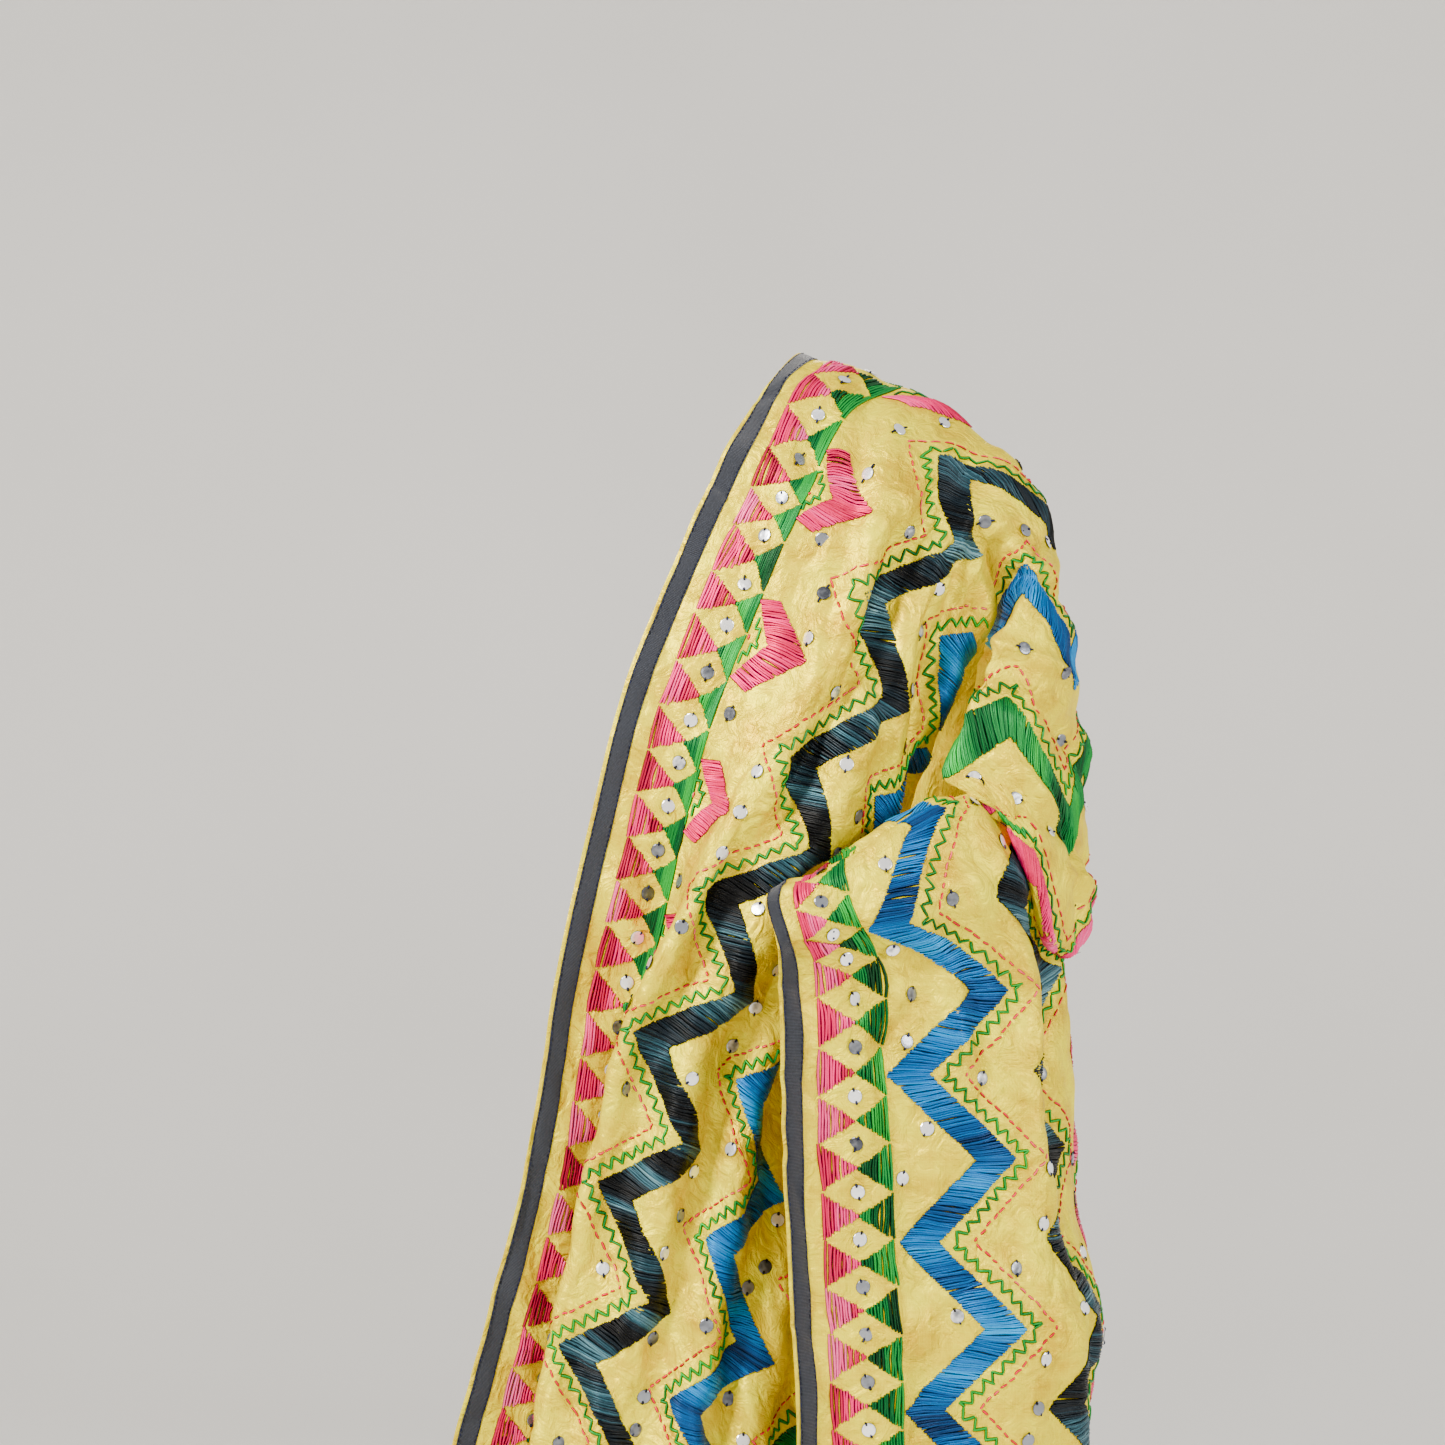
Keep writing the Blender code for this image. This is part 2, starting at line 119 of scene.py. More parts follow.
SLEEVE = (
    Ring(0.310, (0.060, 0.006, -0.182), (0.080, 0.040, -0.160), (0.094, 0.056, -0.156),
         (0.113, 0.038, -0.156), (0.120, 0.000, -0.158), (0.112, -0.048, -0.168),
         (0.088, -0.082, -0.214)),
    Ring(0.365, (0.050, 0.002, -0.236), (0.070, 0.048, -0.206), (0.062, 0.080, -0.208),
         (0.104, 0.064, -0.206), (0.131, 0.004, -0.211), (0.120, -0.054, -0.220),
         (0.084, -0.094, -0.262)),
    Ring(0.430, (0.044, 0.002, -0.286), (0.062, 0.050, -0.250), (0.040, 0.090, -0.260),
         (0.096, 0.082, -0.268), (0.134, 0.006, -0.280), (0.122, -0.058, -0.284),
         (0.082, -0.104, -0.322)),
    Ring(0.490, (0.042, 0.004, -0.330), (0.056, 0.052, -0.290), (0.020, 0.094, -0.314),
         (0.092, 0.092, -0.330), (0.138, 0.008, -0.345), (0.124, -0.062, -0.344),
         (0.080, -0.110, -0.380)),
    Ring(0.540, (0.046, 0.008, -0.352), (0.066, 0.052, -0.308), (0.044, 0.098, -0.312),
         (0.092, 0.106, -0.378), (0.142, 0.012, -0.400), (0.126, -0.064, -0.392),
         (0.080, -0.114, -0.424)),
    Ring(0.575, (0.056, 0.012, -0.366), (0.074, 0.052, -0.322), (0.066, 0.100, -0.326),
         (0.098, 0.104, -0.430), (0.134, 0.020, -0.444), (0.122, -0.062, -0.424),
         (0.080, -0.114, -0.452)),
)
# Rows of the cloth that turns under at the elbow: the share of the way to the middle, the rise
RIM_TURN = ((0.05, -0.008), (0.14, -0.012), (0.26, -0.006), (0.36, 0.008))
RIM_STEP = 0.012  # the cloth from each of them to the next
YOKE_PLACES = (0.0, 0.5, 1.0, 1.5, 2.0, 3.0, 4.0)  # the yoke's places where a ring's seven begin
RING_AT_YOKE = (0, 2, 4, 5, 6)  # and a ring's places where the yoke's five end
OUTER = 4  # the number of a ring's outermost place, where the ridge runs


class Fall(NamedTuple):
    """A row of the front fall; angles in degrees, the rest in metres."""

    reach: float
    width: float
    x: float
    out: float
    z: float
    tilt: float
    lean: float
    bow: float
    pleat: float
    ease: float
    tuck: float


FRONT = (
    Fall(0.12, 0.262, -0.153, 0.085, -0.049, 21, 34, 34, 0, 44, -10),
    Fall(0.16, 0.300, -0.168, 0.094, -0.081, 22, 42, 34, 0, 48, -20),
    Fall(0.22, 0.325, -0.192, 0.105, -0.135, 24, 52, 30, 10, 52, -36),
    Fall(0.33, 0.380, -0.234, 0.120, -0.240, 24, 58, 24, 40, 52, -60),
    Fall(0.45, 0.430, -0.262, 0.120, -0.350, 24, 52, 20, 100, 50, -66),
    Fall(0.58, 0.460, -0.289, 0.116, -0.472, 25, 42, 14, 150, 46, -50),
    Fall(0.72, 0.470, -0.309, 0.116, -0.603, 26, 32, 0, 176, 42, -36),
    Fall(0.86, 0.470, -0.342, 0.118, -0.737, 25, 28, 0, 170, 40, -26),
    Fall(1.00, 0.470, -0.375, 0.118, -0.866, 22, 24, 0, 150, 38, -20),
    Fall(1.20, 0.470, -0.402, 0.118, -1.060, 18, 20, 0, 110, 38, -16),
)
PLEAT_AT, PLEAT_HALF = 0.112, 0.050  # where the pleat turns, in cloth across the row
EASE_WAVE, EASE_DRIFT = 0.075, 2.2  # the eased folds' length, and how they wander down the front
BORDER_SINK = 0.10  # the share of the pleat's turn that the border takes back
BOW_START, BOW_END = 0.35, -1.0  # the bow's share of its turn at the breast edge, and past it
# Where each turn sets in and where it is full, in cloth across the row
SINK_TURN, BOW_TURN, EASE_TURN = (0.05, 0.19), (0.03, 0.24), (0.11, 0.16)
TUCK_TURN, LEAN_TURN = (0.24, 0.30), (0.20, 0.30)


class Drop(NamedTuple):
    """A row of the stretch that hangs from the forearm; angles in degrees."""

    x: float
    out: float
    z: float
    front: float
    side: float
    pleat: float
    ease: float
    turn_at: float
    end_x: float
    end_out: float


FOREARM_FALL = (
    Drop(-0.113, 0.196, -0.470, -20, -84, -120, 16, 0.300, 0.090, -0.112),
    Drop(-0.112, 0.190, -0.560, -16, -80, -150, 16, 0.310, 0.104, -0.106),
    Drop(-0.108, 0.184, -0.660, -14, -88, -90, 18, 0.275, 0.108, -0.104),
    Drop(-0.103, 0.180, -0.750, -10, -92, -30, 20, 0.265, 0.108, -0.104),
    Drop(-0.098, 0.178, -0.850, -12, -92, 0, 24, 0.235, 0.106, -0.106),
    Drop(-0.094, 0.176, -0.960, -12, -90, 0, 26, 0.250, 0.108, -0.106),
    Drop(-0.092, 0.174, -1.080, -12, -88, 0, 28, 0.260, 0.112, -0.104),
)
DROP_PLEAT_AT, DROP_PLEAT_HALF = 0.240, 0.034  # where its pleat turns, in cloth round the row
DROP_WAVE, DROP_DRIFT = 0.090, 3.0  # its folds' length, and how they wander down it
SIDE_TURN_HALF = 0.06  # half of the cloth that turns from the front to the side
INWARD_TURN, INWARD_BY = (0.40, 0.47), -34.0  # the last turn, towards the back
DRAWN_FROM = 0.27  # cloth round the row from which it is drawn to its end

# Lines along the forearm from the wrist, as x, out, z: the ridge and the lines below it, inside it,
# behind the arm and down from there
FOREARM_RIDGE = (
    (-0.124, 0.195, -0.410), (-0.094, 0.192, -0.398), (-0.064, 0.180, -0.386),
    (-0.030, 0.168, -0.368), (0.004, 0.154, -0.350), (0.036, 0.134, -0.342),
    (0.066, 0.106, -0.358), (0.090, 0.070, -0.384), (0.108, 0.026, -0.396),
    (0.110, -0.022, -0.398), (0.096, -0.066, -0.414), (0.074, -0.096, -0.440),
)
RIDGE_BELOW = (
    (-0.116, 0.200, -0.436), (-0.086, 0.200, -0.430), (-0.052, 0.192, -0.422),
    (-0.014, 0.182, -0.410), (0.022, 0.166, -0.398), (0.056, 0.142, -0.394),
    (0.084, 0.108, -0.408), (0.102, 0.070, -0.426), (0.120, 0.024, -0.436),
    (0.120, -0.024, -0.438), (0.104, -0.070, -0.450), (0.078, -0.108, -0.464),
)
RIDGE_INNER = (
    (-0.116, 0.176, -0.396), (-0.088, 0.172, -0.384), (-0.056, 0.160, -0.368),
    (-0.020, 0.146, -0.344), (0.016, 0.130, -0.330), (0.044, 0.108, -0.332),
    (0.062, 0.082, -0.352), (0.074, 0.056, -0.372),
)
RIDGE_BEHIND = (
    (-0.108, 0.160, -0.418), (-0.080, 0.152, -0.404), (-0.050, 0.140, -0.388),
    (-0.016, 0.124, -0.366), (0.012, 0.106, -0.350), (0.036, 0.084, -0.348),
    (0.050, 0.062, -0.364), (0.058, 0.044, -0.384),
)
RIDGE_DOWN = (
    (-0.106, 0.156, -0.452), (-0.078, 0.146, -0.438), (-0.050, 0.132, -0.420),
    (-0.018, 0.114, -0.400), (0.008, 0.094, -0.386), (0.028, 0.072, -0.384),
    (0.042, 0.052, -0.398), (0.050, 0.036, -0.416),
)


class Hang(NamedTuple):
    """A row of the back fall, from the nape edge to its place on the side."""

    nape_x: float
    nape_out: float
    z: float
    drop: float
    fold: float


BACK = (
    Hang(-0.128, -0.112, -0.210, 0.270, 0.008),
    Hang(-0.150, -0.122, -0.360, 0.200, 0.014),
    Hang(-0.172, -0.128, -0.520, 0.110, 0.020),
    Hang(-0.200, -0.130, -0.690, 0.050, 0.024),
    Hang(-0.228, -0.130, -0.870, 0.020, 0.028),
    Hang(-0.256, -0.130, -1.072, 0.008, 0.030),
)
BACK_FOLDS, BACK_UNEVEN = 5, 0.6  # the folds across the back, and how uneven they are
BACK_SWELL = 0.014  # how far the back stands out between its sides
SIDE_FROM = 0.2  # share of a row from which it drops to its place on the side


def linear(hex_colour: str) -> tuple[float, float, float]:
    """Turns an sRGB hex colour into linear light.

    Args:
        hex_colour: six hex digits, with or without a leading #.

    Returns:
        Red, green and blue from 0 to 1.
    """
    digits = hex_colour.lstrip("#")
    channels = [int(digits[i:i + 2], 16) / 255 for i in (0, 2, 4)]
    return tuple(c / 12.92 if c <= 0.04045 else ((c + 0.055) / 1.055) ** 2.4 for c in channels)


def blend(values: Sequence, at: ndarray, before: Sequence | None = None,
          after: Sequence | None = None) -> ndarray:
    """Reads a smooth curve through evenly numbered values.

    Args:
        values: the numbered values, each a number, a place or an array of them.
        at: the numbers to read.
        before: a value ahead of the first, which the curve leans on but doesn't reach.
        after: the same past the last.

    Returns:
        The curve's values, the readings along the first axis.
    """
    values = np.asarray(values, float)
    first = values[:1] if before is None else np.asarray(before, float)[None]
    last = values[-1:] if after is None else np.asarray(after, float)[None]
    padded = np.concatenate([first, values, last])
    at = np.clip(np.asarray(at, float), 0.0, len(values) - 1.0)
    low = np.minimum(at.astype(int), len(values) - 2)
    t = (at - low).reshape((-1,) + (1,) * (values.ndim - 1))
    p0, p1, p2, p3 = (padded[low + k] for k in range(4))
    return 0.5 * (2 * p1 + (p2 - p0) * t + (2 * p0 - 5 * p1 + 4 * p2 - p3) * t**2
                  + (3 * p1 - p0 - 3 * p2 + p3) * t**3)


def place(view: ndarray) -> ndarray:
    """Turns places as the viewer sees them (x, out, z) into the wearer's own frame."""
    x, y = view[..., 0], -view[..., 1]
    return np.stack([x * cos(TURN) - y * sin(TURN),
                     x * sin(TURN) + y * cos(TURN), view[..., 2]], axis=-1)


def hump(at: ndarray, middle: float, half: float) -> ndarray:
    """One smooth rise and fall, 1 at the middle and 0 from half a width away."""
    t = np.clip(np.abs(np.asarray(at, float) - middle) / half, 0.0, 1.0)
    return 0.5 + 0.5 * np.cos(pi * t)


def read_line(at: ndarray, marks: ndarray, line: ndarray) -> ndarray:
    """Reads between the places of a line, where marks says what number each of them has."""
    return np.stack([np.interp(at, marks, values) for values in line.T], -1)


def number_at(values: ndarray, marks: Sequence[float]) -> ndarray:
    """The numbers, with their fractions, of values among marks that grow."""
    return np.interp(values, marks, range(len(marks)))


def ramp(at: ndarray, start: float, end: float) -> ndarray:
    """A smooth step from 0 at start to 1 at end."""
    t = np.clip((np.asarray(at, float) - start) / (end - start), 0.0, 1.0)
    return t * t * (3.0 - 2.0 * t)


def walk(start: tuple, length: float, heading: Callable, slope: Callable, count: int) -> ndarray:
    """Lays one row of cloth from a place.

    Args:
        start: the row's first place.
        length: the cloth in the row.
        heading: the turn towards the viewer at a distance along the row, in degrees.
        slope: the drop at a distance along the row, in degrees.
        count: how many places to give.

    Returns:
        Places evenly along the cloth.
    """
    along = np.arange(0.0, length + STEP, STEP)
    middle = along[:-1] + STEP / 2
    turn, drop = np.radians(heading(middle)), np.radians(slope(middle))
    steps = np.stack([np.cos(turn) * np.cos(drop), np.sin(turn), -np.cos(turn) * np.sin(drop)], -1)
    path = np.vstack([np.zeros(3), np.cumsum(steps * STEP, axis=0)]) + np.asarray(start, float)
    return read_line(np.linspace(0.0, length, count), along, path)


def front_row(fall: Fall, count: int) -> ndarray:
    """One row of the front fall, as count places across it."""
    def heading(v: ndarray) -> ndarray:
        """The turn towards the viewer: the pleat, the bowed breast and the eased rest."""
        wave = np.sin(2 * pi * (v - PLEAT_AT) / EASE_WAVE + EASE_DRIFT * fall.reach)
        eased = fall.ease * wave * ramp(v, *EASE_TURN)
        sunk = -BORDER_SINK * fall.pleat * (1.0 - ramp(v, *SINK_TURN))
        bowed = fall.bow * (BOW_START + (BOW_END - BOW_START) * ramp(v, *BOW_TURN))
        folded = fall.pleat * hump(v, PLEAT_AT, PLEAT_HALF)
        return sunk + bowed + folded + eased + fall.tuck * ramp(v, *TUCK_TURN)

    def slope(v: ndarray) -> ndarray:
        """The drop, which grows past the breast."""
        return fall.tilt + (fall.lean - fall.tilt) * ramp(v, *LEAN_TURN)

    return walk((fall.x, fall.out, fall.z), fall.width, heading, slope, count)


def drop_row(drop: Drop, count: int) -> ndarray:
    """One row of the stretch that hangs from the forearm, as count places round it."""
    def heading(v: ndarray) -> ndarray:
        """The turn towards the viewer, from the front round the side."""
        wave = drop.ease * np.sin(2 * pi * v / DROP_WAVE + DROP_DRIFT * drop.z)
        turned = ramp(v, drop.turn_at - SIDE_TURN_HALF, drop.turn_at + SIDE_TURN_HALF)
        face = drop.front + (drop.side - drop.front) * turned
        inward = INWARD_BY * ramp(v, *INWARD_TURN)
        return face + inward + wave + drop.pleat * hump(v, DROP_PLEAT_AT, DROP_PLEAT_HALF)

    row = walk((drop.x, drop.out, drop.z), DROP_WIDTH, heading, np.zeros_like, count)
    drawn = np.array([drop.end_x, drop.end_out, drop.z]) - row[-1]
    return row + drawn * ramp(np.linspace(0.0, DROP_WIDTH, count), DRAWN_FROM, DROP_WIDTH)[:, None]


def back_row(hang: Hang, side: Sequence[float], count: int) -> ndarray:
    """One row of the back fall to its place on the side, with folds that deepen downwards."""
    s = np.linspace(0.0, 1.0, count)[:, None]
    nape = np.array([hang.nape_x, hang.nape_out, hang.z])
    fold = hang.fold * np.sin(2 * pi * BACK_FOLDS * s + BACK_UNEVEN * np.sin(BACK_FOLDS * s))
    straight = nape + (np.asarray(side) - nape) * s
    straight[:, 2] = hang.z + (side[2] - hang.z) * ramp(s[:, 0], SIDE_FROM, 1.0)
    return straight + (fold - BACK_SWELL) * np.sin(pi * s) * np.array([0.0, 1.0, 0.0])


def normals(grid: ndarray) -> ndarray:
    """The way each point of a grid faces, a unit vector."""
    facing = np.cross(np.gradient(grid, axis=1), np.gradient(grid, axis=0))
    return facing / np.maximum(norm(facing, axis=-1, keepdims=True), 1e-12)


def run_of(line: ndarray) -> ndarray:
    """The distance along a line of places at each of them."""
    return np.concatenate([[0.0], np.cumsum(norm(np.diff(line, axis=0), axis=1))])


@dataclass
class Stretch:
    """A stretch of the cloth as a grid of points with the cloth coordinates they carry."""

    name: str
    points: ndarray  # rows x columns x 3, as the viewer sees them
    down: ndarray  # rows x columns, cloth from the ridge
    across: ndarray  # rows x columns, cloth from the breast edge
    face: float  # 1 where the grid's own normals point out of the garment, or -1
    rows_down: bool = True  # a row keeps its down, otherwise a row keeps its across
    facing: ndarray = field(init=False)

    def __post_init__(self) -> None:
        """Gives each point its coordinates and works out the way the cloth faces."""
        self.down, self.across = np.broadcast_arrays(self.down, self.across)
        self.refresh()

    def refresh(self) -> None:
        """Works the facing out again after the points have moved."""
        self.facing = normals(self.points) * self.face

    def hemmed(self) -> bool:
        """Whether it reaches a hem."""
        return bool(np.abs(self.down).max() > HEMMED_REACH)

    def locate(self, down: ndarray, across: ndarray) -> tuple[ndarray, ndarray]:
        """Finds cloth coordinates on the grid.

        Args:
            down: cloth from the ridge of each wanted place.
            across: cloth from the breast edge of each.

        Returns:
            Row and column numbers with their fractions, not a number where it is off the grid.
        """
        lead, side = (down, across) if self.rows_down else (across, down)
        leads, sides = (self.down, self.across) if self.rows_down else (self.across, self.down)
        leads = leads[:, 0]
        if leads[0] > leads[-1]:
            lead, leads = -lead, -leads
        if sides[0, 0] > sides[0, -1]:
            side, sides = -side, -sides
        row = np.interp(lead, leads, np.arange(len(leads)), left=np.nan, right=np.nan)
        column = np.full(row.shape, np.nan)
        low = np.where(np.isnan(row), -1, np.minimum(np.nan_to_num(row), len(leads) - 2)).astype(int)
        counted = np.arange(sides.shape[1])
        for r in np.unique(low[low >= 0]):
            pick = low == r
            t = row[pick] - r
            here = np.interp(side[pick], sides[r], counted, left=np.nan, right=np.nan)
            there = np.interp(side[pick], sides[r + 1], counted, left=np.nan, right=np.nan)
            column[pick] = here * (1 - t) + there * t
        return row, column

    def read(self, values: ndarray, row: ndarray, column: ndarray) -> ndarray:
        """Reads a grid of values between its points."""
        r = np.clip(np.nan_to_num(row), 0, values.shape[0] - 1.001)
        c = np.clip(np.nan_to_num(column), 0, values.shape[1] - 1.001)
        i, j = r.astype(int), c.astype(int)
        s, t = (r - i)[..., None], (c - j)[..., None]
        return ((values[i, j] * (1 - t) + values[i, j + 1] * t) * (1 - s)
                + (values[i + 1, j] * (1 - t) + values[i + 1, j + 1] * t) * s)


CREASE_START, CREASE_END = (-0.08, 0.25), (0.70, 1.08)  # where it fades in and out, of its length


class Crease(NamedTuple):
    """A soft trough, or a ridge where depth is above zero, from one place on the cloth to another."""

    down: float
    across: float
    to_down: float
    to_across: float
    bow: float
    width: float
    depth: float

    def height(self, down: ndarray, across: ndarray) -> ndarray:
        """How far it moves the cloth out at places on it."""
        run = math.hypot(self.to_down - self.down, self.to_across - self.across)
        ahead = ((self.to_down - self.down) / run, (self.to_across - self.across) / run)
        t = ((down - self.down) * ahead[0] + (across - self.across) * ahead[1]) / run
        aside = (across - self.across) * ahead[0] - (down - self.down) * ahead[1]
        aside = aside - self.bow * np.sin(pi * np.clip(t, 0, 1))
        fade = ramp(t, *CREASE_START) * (1.0 - ramp(t, *CREASE_END))
        return self.depth * fade * np.exp(-(aside / self.width) ** 2)


CREASES = tuple(Crease(*row) for row in (
    # From the shoulder down to under the arm
    (-0.04, 0.07, 0.3, 0.13, 0.012, 0.012, -0.0055),
    (0.02, 0.12, 0.36, 0.2, -0.016, 0.014, 0.0065),
    (0.0, 0.165, 0.24, 0.235, 0.01, 0.01, -0.0065),
    (0.04, 0.2, 0.34, 0.28, 0.014, 0.011, -0.007),
    (0.1, 0.15, 0.44, 0.175, 0.01, 0.01, -0.0055),
    (0.05, 0.232, 0.22, 0.262, 0.006, 0.008, 0.006),
    (0.13, 0.105, 0.3, 0.15, -0.006, 0.008, 0.004),
    # Across the breast and the front fall
    (0.24, 0.18, 0.46, 0.29, 0.012, 0.01, 0.0045),
    (0.34, 0.14, 0.62, 0.21, -0.012, 0.012, -0.0045),
    (0.3, 0.06, 0.52, 0.095, 0.008, 0.012, 0.003),
    (0.5, 0.18, 0.86, 0.215, 0.014, 0.014, 0.005),
    (0.56, 0.25, 0.84, 0.28, -0.012, 0.012, -0.0045),
    (0.6, 0.31, 0.98, 0.33, 0.01, 0.013, 0.0045),
    (0.7, 0.05, 0.95, 0.075, 0.006, 0.01, -0.0025),
    (0.74, 0.19, 1.16, 0.205, 0.01, 0.013, -0.0045),
    (0.86, 0.27, 1.18, 0.255, -0.008, 0.014, 0.0045),
    (0.8, 0.37, 1.14, 0.39, 0.01, 0.013, -0.004),
    # Round the upper arm: pulls from the fold's edge to the elbow
    (0.13, 0.29, -0.02, 0.35, 0.01, 0.009, -0.0072),
    (0.14, 0.35, 0.0, 0.4, -0.008, 0.008, 0.0064),
    (0.15, 0.4, -0.01, 0.47, 0.01, 0.009, -0.008),
    (0.13, 0.45, 0.02, 0.52, -0.01, 0.008, 0.0072),
    (0.11, 0.5, -0.04, 0.545, 0.008, 0.007, -0.0072),
    (0.03, 0.3, -0.09, 0.38, 0.008, 0.01, -0.0064),
    (0.0, 0.42, -0.11, 0.5, -0.01, 0.01, 0.0072),
    (0.07, 0.535, -0.08, 0.56, 0.004, 0.006, 0.0056),
    (0.085, 0.47, 0.02, 0.59, 0.008, 0.007, -0.008),
    (0.05, 0.52, -0.03, 0.585, -0.004, 0.008, 0.006),
    (0.0, 0.545, -0.09, 0.52, 0.004, 0.006, -0.005),
    # The roll over the forearm: a groove with a second, smaller roll behind it
    (0.026, 0.975, 0.032, 0.69, 0.004, 0.008, -0.007),
    (0.052, 0.965, 0.05, 0.69, -0.005, 0.01, 0.007),
    (0.004, 0.9, 0.046, 0.83, 0.004, 0.006, -0.0035),
    (0.002, 0.8, 0.05, 0.76, -0.004, 0.006, 0.0035),
    # The stretch off the forearm: pulls from the ridge, then long soft folds
    (-0.014, 0.95, -0.03, 0.72, -0.008, 0.009, -0.004),
    (-0.05, 0.905, -0.13, 0.885, 0.004, 0.006, -0.003),
    (-0.09, 0.9, -0.11, 0.86, 0.003, 0.005, -0.003),
    (-0.16, 0.905, -0.18, 0.87, -0.003, 0.005, -0.003),
    (-0.24, 0.72, -0.52, 0.735, 0.01, 0.012, -0.006),
    (-0.06, 0.7, -0.3, 0.715, -0.008, 0.012, 0.0055),
    (-0.01, 0.93, -0.26, 0.9, 0.008, 0.01, -0.004),
    (0.0, 0.88, -0.2, 0.83, 0.01, 0.01, 0.004),
    (-0.02, 0.82, -0.3, 0.8, -0.01, 0.012, -0.005),
    (-0.01, 0.76, -0.17, 0.7, 0.008, 0.01, 0.004),
    (-0.1, 0.88, -0.42, 0.862, 0.01, 0.014, 0.0045),
    (-0.22, 0.77, -0.56, 0.775, -0.01, 0.013, 0.005),
    (-0.3, 0.93, -0.62, 0.915, 0.006, 0.012, -0.0035),
    (-0.36, 0.83, -0.66, 0.842, 0.01, 0.014, -0.0045),
    (-0.2, 0.66, -0.46, 0.64, 0.012, 0.012, -0.0045),
    (-0.34, 0.59, -0.64, 0.6, -0.008, 0.013, 0.0045),
    (-0.12, 0.56, -0.34, 0.545, 0.008, 0.011, -0.004),
    # Down the back
    (-0.05, 0.06, -0.36, 0.09, 0.012, 0.013, -0.0045),
    (-0.08, 0.13, -0.5, 0.16, -0.012, 0.014, 0.0045),
    (-0.1, 0.21, -0.4, 0.26, 0.01, 0.012, -0.0045),
    (-0.14, 0.3, -0.56, 0.3, 0.012, 0.013, 0.0045),
    (-0.13, 0.4, -0.42, 0.39, -0.01, 0.012, -0.0045),
    (-0.52, 0.11, -1.02, 0.12, 0.01, 0.014, -0.0045),
    (-0.6, 0.25, -1.1, 0.235, -0.01, 0.014, 0.0045),
    (-0.56, 0.38, -1.04, 0.37, 0.008, 0.013, -0.004),
))


@dataclass(frozen=True)
class Crumple:
    """The silk's own small waviness, with a fixed seed: broad ripples and a few thin creases."""

    seed: int = SEED
    ripple: float = 0.0018  # height of the broad ripples
    ripple_wave: float = 0.050
    pucker: float = 0.0007  # height of the small puckers
    pucker_wave: float = 0.023
    thin: float = 0.0026  # depth of the thin creases
    thin_wave: float = 0.100
    thin_width: float = 0.35
    patch_wave: float = 0.30  # the size of the patches with thin creases
    waves: int = 18
    spread: Pair = (0.6, 1.6)  # the waves' lengths, of the wave length asked for
    warp_share: float = 0.6  # the waves' number down the cloth, of that across it
    level: float = 0.6

    def noise(self, down: ndarray, across: ndarray, wave: float, seed: int) -> ndarray:
        """Smooth noise of about one wave length.

        Args:
            down: cloth from the ridge of each place.
            across: cloth from the breast edge of each.
            wave: the waves' length.
            seed: what the waves are drawn from.

        Returns:
            A number for each place, from -1 to 1 for most.
        """
        chance = default_rng(seed)
        total = np.zeros(down.shape)
        for _ in range(self.waves):
            heading = chance.uniform(0, pi)
            pitch = 2 * pi / (wave * chance.uniform(*self.spread))
            lean = cos(heading) * self.warp_share, sin(heading)
            total += np.cos(pitch * (down * lean[0] + across * lean[1]) + chance.uniform(0, 2 * pi))
        return total * math.sqrt(2.0 / self.waves) * self.level

    def height(self, down: ndarray, across: ndarray) -> ndarray:
        """How far it moves the cloth out at places on it."""
        broad = self.noise(down, across, self.ripple_wave, self.seed)
        line = np.abs(self.noise(down, across, self.thin_wave, self.seed + 1))
        where = np.clip(self.noise(down, across, self.patch_wave, self.seed + 2) + 0.5, 0.0, 1.0)
        small = self.noise(down, across, self.pucker_wave, self.seed + 3)
        creased = where * (1.0 - np.clip(line / self.thin_width, 0.0, 1.0)) ** 2
        return self.ripple * broad + self.pucker * small - self.thin * creased


